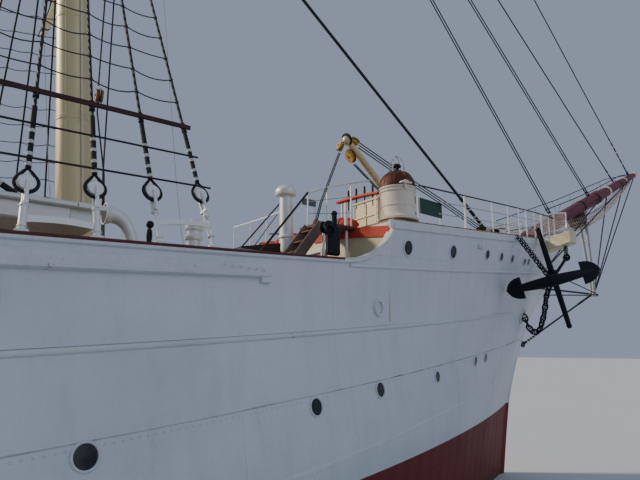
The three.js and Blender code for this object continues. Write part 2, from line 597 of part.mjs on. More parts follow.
// Bowsprit on the stem head, with the dolphin striker below it
const bowspritRadius = (distance) => (distance < BOWSPRIT.jib
  ? THREE.MathUtils.lerp(BOWSPRIT.tipRadius, BOWSPRIT.jibRadius, distance / BOWSPRIT.jib)
  : THREE.MathUtils.lerp(
    BOWSPRIT.jibRadius, BOWSPRIT.radius, (distance - BOWSPRIT.jib) / (BOWSPRIT.inboard - BOWSPRIT.jib)));
{
  const inner = bar(
    onBowsprit(BOWSPRIT.inboard), onBowsprit(BOWSPRIT.jib), BOWSPRIT.radius, BOWSPRIT.jibRadius, MAST_SIDES);
  const outer = bar(
    onBowsprit(BOWSPRIT.jib + 0.05), onBowsprit(0), BOWSPRIT.jibRadius, BOWSPRIT.tipRadius, MAST_SIDES);
  const band = bar(onBowsprit(BOWSPRIT.jib + 0.2), onBowsprit(BOWSPRIT.jib - 0.2), 0.36, 0.36, MAST_SIDES);
  add("bowsprit", toGeometry(join([inner, outer, band].map(solid))), material(MAROON, 0.5));
}
const STRIKER = { distance: 7.4, foot: [44.2, 0, 6.8], radius: 0.12 };
{
  const eye = block([0.5, 0.3, 0.16], [STRIKER.foot[0], 0, STRIKER.foot[2]]);
  const strut = bar(onBowsprit(STRIKER.distance), STRIKER.foot, STRIKER.radius, STRIKER.radius * 0.8, 8);
  add("dolphin_striker", toGeometry(solid(strut).subtract(bowspritClearance()).add(solid(eye))),
    material(STRIKER_GREY, 0.5));
}

// Main stays: from a place up a mast forward to the deck, the bowsprit or the next mast's foot.
// Each end that meets a spar is cut to the spar's surface.
const STAY_RADIUS = 0.045;
const stay = (name, from, to, cuts, radius = STAY_RADIUS) => add(
  name, toGeometry(cutStay(from, to, radius, cuts)), material(BLACK, 0.7));
const [FORE, MAIN, MIZZEN] = MASTS;
const stayToDeck = (name, mast, s, x, deck, radius) => stay(
  name, onMast(mast, s, 0.1), [x, 0, deck(x) + radius], [mastClearance(mast, s)], radius);
stayToDeck("fore_stay", FORE, FORE.top - 0.3, 36.8, forecastleTop, 0.06);
const MAIN_STAY_S = 2.6; // where it is set up, on the fore mast above its deckhouse
stay("main_stay", onMast(MAIN, MAIN.top - 0.3, 0.1), onMast(FORE, MAIN_STAY_S, -0.1), [
  mastClearance(MAIN, MAIN.top - 0.3), mastClearance(FORE, MAIN_STAY_S)], 0.06);
stayToDeck("mizzen_stay", MIZZEN, MIZZEN.top - 0.3, MAIN.x - 1.1, deckTop, 0.05);
const stayToBowsprit = (name, s, distance) => stay(
  name, onMast(FORE, s, 0.1), onBowsprit(distance), [mastClearance(FORE, s), bowspritClearance()]);
stayToBowsprit("fore_topmast_stay", FORE.cross - 1.75, 10.2);
stayToBowsprit("jib_stay", FORE.cross - 1.45, 6.2);
const FLYING_JIB_S = FORE.truck - 0.8;
stay("flying_jib_stay", onMast(FORE, FLYING_JIB_S, TOPGALLANT.out), onBowsprit(0.9), [
  bowspritClearance(),
  solid(bar(
    onMast(FORE, FLYING_JIB_S - 0.6, TOPGALLANT.out), onMast(FORE, FLYING_JIB_S + 0.6, TOPGALLANT.out),
    topgallantRadius(FORE, FLYING_JIB_S - 0.6) + TOUCH, topgallantRadius(FORE, FLYING_JIB_S + 0.6) + TOUCH,
    MAST_SIDES)),
], 0.03);
const strikerClearance = () => solid(block(
  [0.5 + TOUCH * 2, 0.4, 0.5], [STRIKER.foot[0], 0, STRIKER.foot[2]]));
stay("bobstay", [38.05, 0, 4.45], [STRIKER.foot[0], 0, STRIKER.foot[2]], [
  strikerClearance(),
  solid(hullStretch({
    aft: constant(35), fore: (z) => stemX(z) + TOUCH, low: constant(3), high: constant(6), steps: 4,
    levels: 6,
  })),
]);

// Fore-and-aft spars of the mizzen: boom and gaff on goosenecks behind the mast
function aftSpar(name, spar) {
  const rise = spar.rise * DEG;
  const pivot = onMast(MIZZEN, spar.s, GOOSENECK_OUT);
  const end = [pivot[0] - Math.cos(rise) * spar.length, 0, pivot[2] + Math.sin(rise) * spar.length];
  const middle = pivot.map((value, axis) => value + (end[axis] - value) * 0.45);
  const plates = FORK_PLATES.map(([low, high]) => bar(
    onMast(MIZZEN, spar.s + low, GOOSENECK_OUT), onMast(MIZZEN, spar.s + high, GOOSENECK_OUT),
    PIVOT_RADIUS, PIVOT_RADIUS, 8));
  const yokeOut = GOOSENECK_OUT - GOOSENECK_YOKE;
  const start = onMast(MIZZEN, spar.s, yokeOut);
  const yoke = bar(
    onMast(MIZZEN, spar.s - 0.26, yokeOut), onMast(MIZZEN, spar.s + 0.26, yokeOut), 0.08, 0.08, 8);
  const cheeks = FORK_PLATES.map(([low, high]) => bar(
    onMast(MIZZEN, spar.s + (low + high) / 2, GOOSENECK_OUT),
    onMast(MIZZEN, spar.s + (low + high) / 2, yokeOut), 0.055, 0.055, 6));
  add(name, toGeometry(join([
    bar(start, middle, spar.radius * 0.75, spar.radius, YARD_SIDES),
    bar(middle, end, spar.radius, spar.radius * 0.6, YARD_SIDES), yoke, ...plates, ...cheeks].map(solid))),
  material(BUFF, 0.45));
}
aftSpar("spanker_boom", BOOM);
aftSpar("spanker_gaff", GAFF);

// Rudder, propeller and steering wheel
{
  const { axisX, stock, blade, low, high } = RUDDER;
  const outline = new THREE.Shape();
  outline.moveTo(axisX, low);
  outline.lineTo(axisX - blade, low + 0.35);
  outline.lineTo(axisX - blade, 0.1);
  outline.lineTo(axisX - 0.9, high - 0.25);
  outline.lineTo(axisX, high - 0.25);
  const plate = new THREE.ExtrudeGeometry(outline, { depth: 0.2, bevelEnabled: false })
    .rotateX(Math.PI / 2).translate(0, 0.1, 0);
  const post = bar([axisX, 0, KEEL_Z + 0.17 + TOUCH], [axisX, 0, 2.6], stock, stock, 12);
  add("rudder", toGeometry(solid(plate).add(solid(post))), material(RED, 0.6));
}
{
  const { x, z, radius, shaft } = PROPELLER;
  const hub = bar([APERTURE.fore - 0.1 - TOUCH, 0, z], [x - 0.45, 0, z], shaft, shaft * 0.6, 12);
  const parts = [solid(hub)];
  for (let i = 0; i < 4; i += 1) {
    const outline = new THREE.Shape();
    outline.moveTo(-0.1, 0);
    outline.quadraticCurveTo(-0.42, radius * 0.6, -0.12, radius);
    outline.lineTo(0.12, radius);
    outline.quadraticCurveTo(0.42, radius * 0.6, 0.1, 0);
    const leaf = new THREE.ExtrudeGeometry(outline, { depth: 0.07, bevelEnabled: false, curveSegments: 5 });
    leaf.translate(0, 0, -0.035).rotateX(Math.PI / 2).rotateZ(Math.PI / 2 - 0.6);
    leaf.rotateX((Math.PI / 2) * i).translate(x, 0, z);
    parts.push(solid(leaf));
  }
  add("propeller", toGeometry(join(parts)), material(BRONZE, 0.35, 0.8));
}
{
  const rim = new THREE.TorusGeometry(WHEEL.radius - 0.12, 0.04, 5, 16);
  const parts = [solid(rim)];
  for (let i = 0; i < 4; i += 1) {
    const angle = (Math.PI / 4) * i;
    const tip = [Math.cos(angle) * WHEEL.radius, Math.sin(angle) * WHEEL.radius, 0];
    parts.push(solid(bar(tip.map((v) => -v), tip, 0.025, 0.025, 4)));
  }
  parts.push(solid(bar([0, 0, -0.12], [0, 0, 0.12], 0.11, 0.11, 10)));
  const wheel = toGeometry(join(parts)).rotateY(Math.PI / 2)
    .translate(WHEEL.x, 0, poopTop(WHEEL.x) + WHEEL.rise);
  add("steering_wheel", wheel, material(WOOD, 0.5));
}

// Capstan on the forecastle
const CAPSTAN = { x: 31.5 };
add("capstan", turned([
  [0, 0], [0.62, 0], [0.62, 0.12], [0.38, 0.25], [0.3, 0.6], [0.42, 0.85], [0.5, 0.95], [0.5, 1.1],
  [0.3, 1.2], [0, 1.2],
], 16).translate(CAPSTAN.x, 0, forecastleTop(CAPSTAN.x + 0.62) + TOUCH), material(WHITE, 0.5));

// The lamp tower: a round house with a domed roof at the aft starboard corner of the forecastle
const TOWER = { x: 27.98, y: -3.3, radius: 0.42, foot: 0.5, wall: 0.87, dome: 0.43 };
{
  const { x, y, radius, foot, wall, dome } = TOWER;
  const profile = [[0, 0], [foot, 0], [foot, 0.06], [radius, 0.16], [radius, wall]];
  for (let i = 0; i <= 5; i += 1) {
    const angle = (Math.PI / 2) * (i / 6);
    profile.push([(radius + 0.02) * Math.cos(angle), wall + 0.02 + dome * Math.sin(angle)]);
  }
  profile.push([0.09, wall + 0.02 + dome], [0.09, wall + 0.12 + dome], [0, wall + 0.12 + dome]);
  add("lamp_tower", turned(profile, 16).translate(x, y, forecastleTop(x + foot) + TOUCH),
    material(WHITE, 0.4));
}

// The stocked anchors that hang from the catheads
const ANCHOR = { shank: 2.9, arm: 1.05, stock: 1.55 };
for (const [sideName, side] of [["starboard", -1], ["port", 1]]) {
  const hook = [CATHEAD.x, side * 2.75, catheadTop(2.7) - CATHEAD.depth - TOUCH];
  const parts = [];
  const crown = new THREE.Vector3(33.7, -3.85, 6.2);
  const along = new THREE.Vector3(0.88, 0.45, 0.03).normalize();
  const lean = new THREE.Vector3(-0.1, 0.18, 1);
  const out = new THREE.Vector3().crossVectors(along, lean).normalize();
  const up = new THREE.Vector3().crossVectors(out, along).normalize();
  const at = (a, b, c) => {
    const place = crown.clone().addScaledVector(along, a).addScaledVector(up, b).addScaledVector(out, c);
    return [place.x, -side * place.y, place.z];
  };
  parts.push(solid(bar(at(0, 0, 0), at(ANCHOR.shank, 0, 0), 0.17, 0.11, 8)));
  for (const way of [-1, 1]) {
    parts.push(solid(bar(at(0, 0, 0), at(0.32, 0, way * ANCHOR.arm * 0.72), 0.16, 0.12, 8)));
    parts.push(solid(bar(at(0.3, 0, way * ANCHOR.arm * 0.7), at(0.75, 0, way * ANCHOR.arm), 0.12, 0.08, 8)));
    parts.push(solid(bar(
      at(0.5, 0, way * (ANCHOR.arm - 0.1)), at(0.58, 0, way * (ANCHOR.arm - 0.2)), 0.3, 0.3, 8)));
  }
  parts.push(solid(bar(
    at(ANCHOR.shank - 0.25, -ANCHOR.stock, 0), at(ANCHOR.shank - 0.25, ANCHOR.stock, 0), 0.09, 0.09, 8)));
  const shackle = [hook[0], hook[1], hook[2] - 0.4];
  parts.push(solid(bar(at(2.35, 0, 0), shackle, 0.06, 0.06, 6)));
  parts.push(solid(bar([shackle[0], shackle[1], shackle[2] - 0.05], hook, 0.07, 0.07, 6)));
  add(`anchor_${sideName}`, toGeometry(join(parts)), material(BLACK, 0.6));
}

// Fish davit for the anchors, stepped at the break of the forecastle
const DAVIT = { x: 28.75, y: -2, head: 8.65, reach: [27.3, -2.2, 9.65], radius: 0.1 };
{
  const deck = forecastleTop(DAVIT.x + 0.25) + SEAT;
  const head = [DAVIT.x, DAVIT.y, DAVIT.head];
  add("fish_davit", toGeometry(join([
    bar([DAVIT.x, DAVIT.y, deck], [DAVIT.x, DAVIT.y, deck + 0.1], 0.25, 0.25, 12),
    bar([DAVIT.x, DAVIT.y, deck], head, DAVIT.radius, DAVIT.radius, 10),
    bar([DAVIT.x + 0.06, DAVIT.y, DAVIT.head - 0.06], DAVIT.reach, DAVIT.radius, 0.07, 10)].map(solid))),
  material(BUFF, 0.5));
}

// Deckhouses, with ventilator cowls standing on the fore one's roof
const houseRoof = ({ x, length, height, deck }) =>
  Math.max(deck(x + length / 2), deck(x - length / 2)) + height;
const ROOF_THICKNESS = 0.1;
// "eave" is the depth of the stepped edge below a roof.
function house(row) {
  const { x, length, width, deck, roofOverhang, roofFore = roofOverhang, eave = 0 } = row;
  const roof = houseRoof(row);
  const roofPlate = (inset, depth, centreZ) => solid(block(
    [length + roofOverhang + roofFore - inset * 2, width + (roofOverhang - inset) * 2, depth],
    [x + (roofFore - roofOverhang) / 2, 0, centreZ]));
  const parts = [
    solid(deckBlock(x - length / 2, x + length / 2, -width / 2, width / 2, (end) => deck(end) + SEAT, roof)),
    roofPlate(0, ROOF_THICKNESS, roof + ROOF_THICKNESS * 0.4)];
  if (eave) parts.push(roofPlate(0.1, eave, roof - eave / 2));
  return parts;
}
const FORE_HOUSE = {
  x: 14.9, length: 9.4, width: 5.2, height: 2.3, deck: deckTop, roofOverhang: 0.25, roofFore: 1.25,
  eave: 0.3,
};
const AFT_HOUSE = { x: -12, length: 7.0, width: 5.0, height: 2.3, deck: deckTop, roofOverhang: 0.25 };
const CHART_HOUSE = { x: -27, length: 4.6, width: 3.4, height: 2.15, deck: poopTop, roofOverhang: 0.2 };
function cowl(x, y, z, height, radius, facing) {
  const profile = new THREE.CurvePath();
  const stem = new THREE.LineCurve3(new THREE.Vector3(x, y, z), new THREE.Vector3(x, y, z + height));
  const bend = new THREE.QuadraticBezierCurve3(
    new THREE.Vector3(x, y, z + height), new THREE.Vector3(x, y, z + height + radius * 1.6),
    new THREE.Vector3(x + facing * radius * 1.8, y, z + height + radius * 1.6));
  profile.add(stem);
  profile.add(bend);
  const ring = new THREE.Shape().absarc(0, 0, radius * 0.6, 0, 2 * Math.PI);
  const pipe = new THREE.ExtrudeGeometry(ring, {
    steps: 8, curveSegments: 5, extrudePath: profile, bevelEnabled: false,
  });
  const mouth = bar(
    [x + facing * radius * 0.9, y, z + height + radius * 1.5],
    [x + facing * radius * 1.9, y, z + height + radius * 1.6], radius * 0.6, radius, 12);
  return solid(pipe).add(solid(mouth));
}
{
  const roof = houseRoof(FORE_HOUSE) + ROOF_THICKNESS * 0.5;
  const parts = house(FORE_HOUSE);
  for (const y of [-2.1, 2.1]) parts.push(cowl(FORE_HOUSE.x + 3.2, y, roof, 1.1, 0.45, 1));
  add("fore_deckhouse", toGeometry(join(parts)), material(WHITE, 0.5));
}
add("aft_deckhouse", toGeometry(join(house(AFT_HOUSE))), material(WHITE, 0.5));
add("chart_house", toGeometry(join(house(CHART_HOUSE))), material(WOOD, 0.5));

// Boats in chocks on the fore and aft deckhouse roofs
const BOAT = { length: 7.2, beam: 2.0, depth: 0.95, y: 1.45 };
function boat(x, y, z) {
  const rings = [];
  const steps = 6;
  for (let i = 0; i <= steps; i += 1) {
    const t = -1 + (2 * i) / steps;
    const half = Math.max((BOAT.beam / 2) * (1 - Math.abs(t) ** 2.4), 0.04);
    const keel = z + 0.12 + 0.3 * Math.abs(t) ** 4;
    const gunwale = z + BOAT.depth + 0.22 * t * t;
    const side = [];
    for (let j = 0; j <= 3; j += 1) {
      const angle = (Math.PI / 2) * (j / 3);
      side.push([
        x + (BOAT.length / 2) * t, half * Math.max(Math.sin(angle), 0.08),
        gunwale - (gunwale - keel) * Math.cos(angle)]);
    }
    rings.push([
      ...side.map(([px, py, pz]) => [px, y - py, pz]),
      ...side.map(([px, py, pz]) => [px, y + py, pz]).reverse()]);
  }
  const hull = solid(loft(rings));
  const chocks = [-1.7, 1.7].map((along) => solid(block([0.18, 1.3, 0.45], [x + along, y, z + 0.225])));
  return toGeometry(join([hull, ...chocks]));
}
for (const [place, houseRow] of [["fore", FORE_HOUSE], ["aft", AFT_HOUSE]]) {
  const roof = houseRoof(houseRow) + ROOF_THICKNESS * 0.9 + TOUCH;
  const shift = place === "fore" ? -0.9 : 0;
  for (const [sideName, side] of [["starboard", -1], ["port", 1]]) {
    add(`${place}_boat_${sideName}`, boat(houseRow.x + shift, side * BOAT.y, roof), material(WHITE, 0.5));
  }
}

const model = new THREE.Group();
model.add(ship);
export default model;
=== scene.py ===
import logging
import math
from dataclasses import dataclass, field
from enum import Enum
from typing import Callable, Sequence, Union

import bpy
import numpy as np
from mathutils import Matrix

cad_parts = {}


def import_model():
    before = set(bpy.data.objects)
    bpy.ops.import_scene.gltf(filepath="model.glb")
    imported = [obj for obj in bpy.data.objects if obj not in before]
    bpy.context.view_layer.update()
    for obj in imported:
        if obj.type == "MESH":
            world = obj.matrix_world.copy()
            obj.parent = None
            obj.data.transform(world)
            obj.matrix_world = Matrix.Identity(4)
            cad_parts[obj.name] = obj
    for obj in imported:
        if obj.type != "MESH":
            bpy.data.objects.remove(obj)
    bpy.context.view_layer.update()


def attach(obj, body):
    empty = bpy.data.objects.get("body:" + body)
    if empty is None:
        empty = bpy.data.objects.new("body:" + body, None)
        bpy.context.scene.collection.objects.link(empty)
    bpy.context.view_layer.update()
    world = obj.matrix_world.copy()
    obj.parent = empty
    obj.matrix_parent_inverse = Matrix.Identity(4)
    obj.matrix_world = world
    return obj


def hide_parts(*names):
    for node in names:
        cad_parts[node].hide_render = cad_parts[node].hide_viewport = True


# A steel three-masted full-rigged ship with bare yards, dressed over its packed 1:10 model.
# Sizes are metres of the real ship: x runs forward, y to port, z up from the waterline.
METRE = 0.1

log = logging.getLogger("ship")
Array = np.ndarray
Number = Union[float, Array]
Place = Sequence[float]
Colour = tuple[float, float, float]

UP = np.array([0.0, 0.0, 1.0])
FORWARD = np.array([1.0, 0.0, 0.0])
PORT = np.array([0.0, 1.0, 0.0])


# The ship's lines
KEEL_Z = -4.3
STEM_HALF = 0.1
BREAK_X = 27.1
POOP_X = -22.5
PLANK = 0.08
INSET = 0.16
SWEEP = 1.6

# z, stern, stem, half breadth, entry length and power, run length and power
WATERLINES = np.array([
    (-4.3, -35, 32.4, 0.3, 26, 1.2, 30, 1.2), (-4.05, -35, 33.6, 3.1, 30, 1.6, 34, 2.2),
    (-3.6, -35, 34.5, 4.8, 28, 1.4, 33, 2.1), (-2.6, -35, 35.3, 5.8, 26, 1.25, 32, 1.9),
    (-1.0, -35, 35.9, 6.2, 25, 1.12, 31, 1.6), (1.0, -35, 36.4, 6.3, 24.5, 1.04, 29, 1.2),
    (2.2, -36.8, 36.68, 6.3, 24, 1, 28, 0.95), (3.2, -39.2, 37.08, 6.3, 27, 0.92, 27, 0.75),
    (4.2, -41, 37.6, 6.25, 31, 0.84, 25, 0.62), (5.5, -41.9, 38.5, 6.2, 36, 0.76, 24, 0.53),
    (7.0, -42.2, 40.2, 6.1, 40, 0.7, 24, 0.5), (8.2, -42.3, 41.35, 6.05, 41, 0.68, 24, 0.48),
    (9.4, -42.4, 42.0, 6.0, 42, 0.66, 24, 0.48)], float)


class Line(Enum):
    """The columns of the table of waterlines."""

    STERN = 1
    STEM = 2
    HALF = 3
    ENTRY = 4
    ENTRY_POWER = 5
    RUN = 6
    RUN_POWER = 7


def cubic(t: Array, i: Array, value: Array, slope: Array, span: Number = 1.0) -> Array:
    """A cubic from row i to the next as t runs from 0 to 1, with each row's slope at its end."""
    return ((2 * t ** 3 - 3 * t ** 2 + 1) * value[i] + (t ** 3 - 2 * t ** 2 + t) * span * slope[i]
            + (3 * t ** 2 - 2 * t ** 3) * value[i + 1] + (t ** 3 - t ** 2) * span * slope[i + 1])


def faired(line: Line, z: Number) -> Array:
    """A smooth curve through one column of the waterlines.

    Each span is a cubic whose end slopes are the harmonic means of the slopes beside them.

    Args:
        line: The column.
        z: Heights above the waterline.

    Returns:
        The column's value at each height.
    """
    rows, v = WATERLINES[:, 0], WATERLINES[:, line.value]
    rise = np.diff(v) / np.diff(rows)
    both = rise[:-1] * rise[1:]
    total = np.where(both > 0, rise[:-1] + rise[1:], 1)
    slope = np.concatenate([rise[:1], np.where(both > 0, 2 * both / total, 0), rise[-1:]])
    z = np.clip(z, rows[0], rows[-1])
    i = np.clip(np.searchsorted(rows, z) - 1, 0, len(rows) - 2)
    span = rows[i + 1] - rows[i]
    return cubic((z - rows[i]) / span, i, v, slope, span)


def stem_x(z: Number) -> Array:
    """Where the stem is at a height."""
    return faired(Line.STEM, z)


def stern_x(z: Number) -> Array:
    """Where the stern is at a height."""
    return faired(Line.STERN, z)


def half_breadth(x: Number, z: Number) -> Array:
    """Half the hull's breadth: full amidships, times (1 - (1 - t)^2)^power towards each end."""
    def closing(distance: Array, length: Array, power: Array) -> Array:
        """The share of the full breadth at a distance from one end."""
        return (1 - (1 - np.clip(distance / length, 0, 1)) ** 2) ** power

    x, z = np.broadcast_arrays(np.asarray(x, float), np.asarray(z, float))
    fore = closing(stem_x(z) - x, faired(Line.ENTRY, z), faired(Line.ENTRY_POWER, z))
    aft = closing(x - stern_x(z), faired(Line.RUN, z), faired(Line.RUN_POWER, z))
    return np.maximum(faired(Line.HALF, z) * fore * aft, STEM_HALF)


def rail_z(x: Number) -> Array:
    """Height of the main rail's top."""
    return 5.07 + np.where(np.asarray(x) > 0, 0.00154, 0.0009) * np.square(x)


def deck_z(x: Number) -> Array:
    """Height of the main deck's beams."""
    return rail_z(x) - 1.4


def deck_top(x: Number) -> Array:
    """Height of the main deck's planks."""
    return deck_z(x) + PLANK


def paint_z(x: Number) -> Array:
    """Height of the line between bottom and topside paint."""
    return 1.6 + 0.00057 * np.square(x)


def castle_z(x: Number) -> Array:
    """Height of the forecastle's edge."""
    return rail_z(x) + 0.915 + 0.012 * (np.asarray(x) - BREAK_X)


def castle_top(x: Number) -> Array:
    """Height of the forecastle's planks."""
    return castle_z(x) + PLANK


def poop_z(x: Number) -> Array:
    """Height of the poop's edge."""
    return rail_z(x) + 1.05


def poop_top(x: Number) -> Array:
    """Height of the poop's planks."""
    return poop_z(x) + PLANK


def break_rise(x: Number) -> Array:
    """Rise of the bulwark up to the forecastle: a hollow quarter of an ellipse."""
    t = np.clip((np.asarray(x) - (BREAK_X - SWEEP)) / SWEEP, 0, 1)
    return (castle_z(x) - rail_z(x)) * (1 - np.sqrt(1 - t * t))


def skin(x: Number, z: Number, out: float = 0.0) -> Array:
    """Points on the starboard shell plating, moved out along its normal."""
    x, z = np.broadcast_arrays(np.asarray(x, float), np.asarray(z, float))
    spot = np.stack([x, -half_breadth(x, z), z], -1)
    return spot + shell_normal(x, z) * out if out else spot


def shell_normal(x: Number, z: Number) -> Array:
    """Outward normal of the starboard plating, from differences of its breadth."""
    e = 0.02
    x, z = np.broadcast_arrays(np.asarray(x, float), np.asarray(z, float))
    by_x = (half_breadth(x + e, z) - half_breadth(x - e, z)) / (2 * e)
    by_z = (half_breadth(x, z + e) - half_breadth(x, z - e)) / (2 * e)
    return unit(np.stack([-by_x, -np.ones_like(by_x), -by_z], -1))


# Meshes
def unit(v: Array) -> Array:
    """Vectors scaled to length one."""
    v = np.asarray(v, float)
    return v / np.maximum(np.linalg.norm(v, axis=-1, keepdims=True), 1e-12)


def spots(x: Number, y: Number, z: Number) -> Array:
    """Points from numbers or rows of numbers."""
    return np.stack(np.broadcast_arrays(*(np.asarray(v, float) for v in (x, y, z))), -1)


def square_to(axis: Array) -> tuple[Array, Array]:
    """Two unit vectors that make a right-handed frame with an axis."""
    axis = unit(axis)
    u = unit(np.cross(axis, [0.0, 1.0, 0.0] if abs(axis[1]) < 0.9 else [1.0, 0.0, 0.0]))
    return u, np.cross(axis, u)


def between(a: Place, b: Place, t: Number) -> Array:
    """Points on the line from a to b at the shares t."""
    a, b = np.asarray(a, float), np.asarray(b, float)
    return a + (b - a) * np.asarray(t, float)[..., None]


def sagging(a: Array, b: Array, drop: Number, count: int = 7) -> Array:
    """Paths from a to b that hang by a parabola: 4 t (1 - t) times the drop."""
    t = np.linspace(0, 1, count)
    a, b = np.asarray(a, float)[..., None, :], np.asarray(b, float)[..., None, :]
    path = a + (b - a) * t[:, None]
    path[..., 2] -= 4 * t * (1 - t) * np.asarray(drop, float)[..., None]
    return path


def curved(points: Sequence[Place], count: int = 24) -> Array:
    """A smooth path through points: each span is a cubic with slopes from its neighbours."""
    p = np.asarray(points, float)
    last = len(p) - 1
    slope = np.gradient(p, axis=0)
    s = np.linspace(0, last, count)
    i = np.clip(s.astype(int), 0, last - 1)
    return cubic((s - i)[:, None], i, p, slope)


def box_faces() -> tuple[Array, list[list[int]]]:
    """Signs and faces of a box with cut edges: three points at each corner, one for each axis."""
    signs = np.array([(x, y, z) for x in (-1, 1) for y in (-1, 1) for z in (-1, 1)])
    faces = []

    def corner(wanted: dict[int, int]) -> int:
        """The corner that has these signs on these axes."""
        return next(i for i, s in enumerate(signs) if all(s[a] == sign for a, sign in wanted.items()))

    def outward(names: list[tuple[int, int]]) -> None:
        """Adds a face with its points in the order that turns it outwards."""
        spots = np.array([signs[c] * (1 + 0.5 * (np.arange(3) == a)) for c, a in names])
        centre = spots.mean(0)
        ring = names if np.cross(spots[1] - spots[0], spots[2] - spots[1]) @ centre > 0 else names[::-1]
        faces.append([c * 3 + a for c, a in ring])

    for axis in range(3):
        u, v = [a for a in range(3) if a != axis]
        for sign in (-1, 1):
            loop = [(-1, -1), (1, -1), (1, 1), (-1, 1)]
            outward([(corner({axis: sign, u: a, v: b}), axis) for a, b in loop])
        for a in (-1, 1):
            for b in (-1, 1):
                low, high = [i for i, s in enumerate(signs) if s[u] == a and s[v] == b]
                outward([(low, u), (low, v), (high, v), (high, u)])
    for i in range(8):
        outward([(i, 0), (i, 1), (i, 2)])
    return signs, faces


BOX_SIGNS, BOX_FACES = box_faces()


class Form:
    """A mesh gathered from simple bodies, in metres of the real ship."""

    def __init__(self) -> None:
        """Starts with nothing."""
        self.points: list[Array] = []
        self.faces: list[Array] = []
        self.routes: list[Array] = []
        self.count = 0

    def put(self, points: Array, faces: Sequence[Array], route: Array | None = None) -> "Form":
        """Adds points, with faces that number them from 0, and how far along its run each lies."""
        points = np.asarray(points, float).reshape(-1, 3)
        self.points.append(points)
        self.faces += [np.asarray(f) + self.count for f in faces]
        self.routes.append(np.zeros((len(points), 3)) if route is None else route.reshape(-1, 3))
        self.count += len(points)
        return self

    def loft(self, rings: Array, cap: bool = True, loop: bool = False) -> "Form":
        """Adds bodies through rings of points; each face joins two points to the same two of the next ring.

        Args:
            rings: (..., stations, points of a ring, 3), each ring anticlockwise about the run.
            cap: Whether the first and last ring are closed.
            loop: Whether the last ring joins the first.

        Returns:
            The form.
        """
        rings = np.asarray(rings, float)
        m, k = rings.shape[-3:-1]
        rings = rings.reshape(-1, m, k, 3)
        index = np.arange(len(rings) * m * k).reshape(-1, m, k)
        beside = np.roll(index, -1, 2)
        if loop:
            a, an, b, bn = index, beside, np.roll(index, -1, 1), np.roll(beside, -1, 1)
        else:
            a, an, b, bn = index[:, :-1], beside[:, :-1], index[:, 1:], beside[:, 1:]
        faces = [np.stack([a, an, bn, b], -1).reshape(-1, 4)]
        if cap and not loop:
            faces += [index[:, 0, ::-1], index[:, -1]]
        middle = rings.mean(2)
        along = np.cumsum(np.linalg.norm(np.diff(middle, axis=1, prepend=middle[:, :1]), axis=2), 1)
        angle = np.broadcast_to(2 * np.pi * np.arange(k) / k, (len(rings), m, k))
        route = np.stack([
            np.cos(angle), np.sin(angle), np.broadcast_to(along[..., None], angle.shape)], -1)
        return self.put(rings, faces, route)

    def tube(self, path: Array, radius: Number, sides: int = 8, cap: bool = True,
             loop: bool = False) -> "Form":
        """Adds round bodies along paths: a circle square to the path at each of its points.

        Args:
            path: (..., stations, 3).
            radius: One number, or one for each station.
            sides: Points of a circle.
            cap: Whether the ends are closed.
            loop: Whether the path closes on itself.

        Returns:
            The form.
        """
        path = np.asarray(path, float)
        if loop:
            run = np.roll(path, -1, -2) - np.roll(path, 1, -2)
        else:
            run = np.gradient(path, axis=-2)
        run = unit(run)
        still = np.linalg.eigh(np.swapaxes(run, -1, -2) @ run)[1][..., 0]
        u = unit(np.cross(still[..., None, :], run))
        v = np.cross(run, u)
        turn = 2 * np.pi * (np.arange(sides) + 0.5) / sides
        r = np.broadcast_to(np.asarray(radius, float), path.shape[:-1])[..., None, None]
        rings = path[..., None, :] + r * (
            u[..., None, :] * np.cos(turn)[:, None] + v[..., None, :] * np.sin(turn)[:, None])
        return self.loft(rings, cap, loop)

    def bar(self, a: Place, b: Place, radius: float, end: float | None = None,
            sides: int = 10) -> "Form":
        """Adds a straight round bar from a to b."""
        return self.tube(np.array([a, b], float), [radius, radius if end is None else end], sides)

    def bars(self, a: Array, b: Array, radius: float, sides: int = 6) -> "Form":
        """Adds straight round bars from each of a to each of b."""
        return self.tube(np.stack(np.broadcast_arrays(a, b), -2), radius, sides)

    def turned(self, profile: Sequence[tuple[float, float]], base: Place,
               axis: Place = (0, 0, 1), sides: int = 24, loop: bool = False) -> "Form":
        """Adds a turned body: rows of (radius, distance along the axis) carried round the axis."""
        u, v = square_to(np.asarray(axis, float))
        rows = np.asarray(profile, float)
        turn = 2 * np.pi * np.arange(sides) / sides
        circle = u * np.cos(turn)[:, None] + v * np.sin(turn)[:, None]
        rings = (np.asarray(base, float) + unit(axis) * rows[:, 1][:, None, None]
                 + circle * np.maximum(rows[:, 0], 0.003)[:, None, None])
        return self.loft(rings, not loop, loop)

    def band(self, centre: Place, axis: Place, inner: float, outer: float, half: float,
             sides: int = 20) -> "Form":
        """Adds a flat ring round an axis, between two radii and half a width each way."""
        return self.turned([(inner, -half), (outer, -half), (outer, half), (inner, half)], centre, axis,
                           sides, loop=True)

    def drum(self, centre: Place, axis: Place, radius: float, low: float, high: float,
             sides: int = 24) -> "Form":
        """Adds a cylinder between two distances along an axis."""
        return self.turned([(0, low), (radius, low), (radius, high), (0, high)], centre, axis, sides)

    def ball(self, centre: Place, radius: float, sides: int = 12) -> "Form":
        """Adds a ball: radius and height are the sine and cosine of one angle."""
        a = np.linspace(0.02, np.pi - 0.02, max(sides // 2, 4) + 1)
        return self.turned(
            np.stack([np.sin(a), -np.cos(a)], 1) * radius, centre, sides=sides)

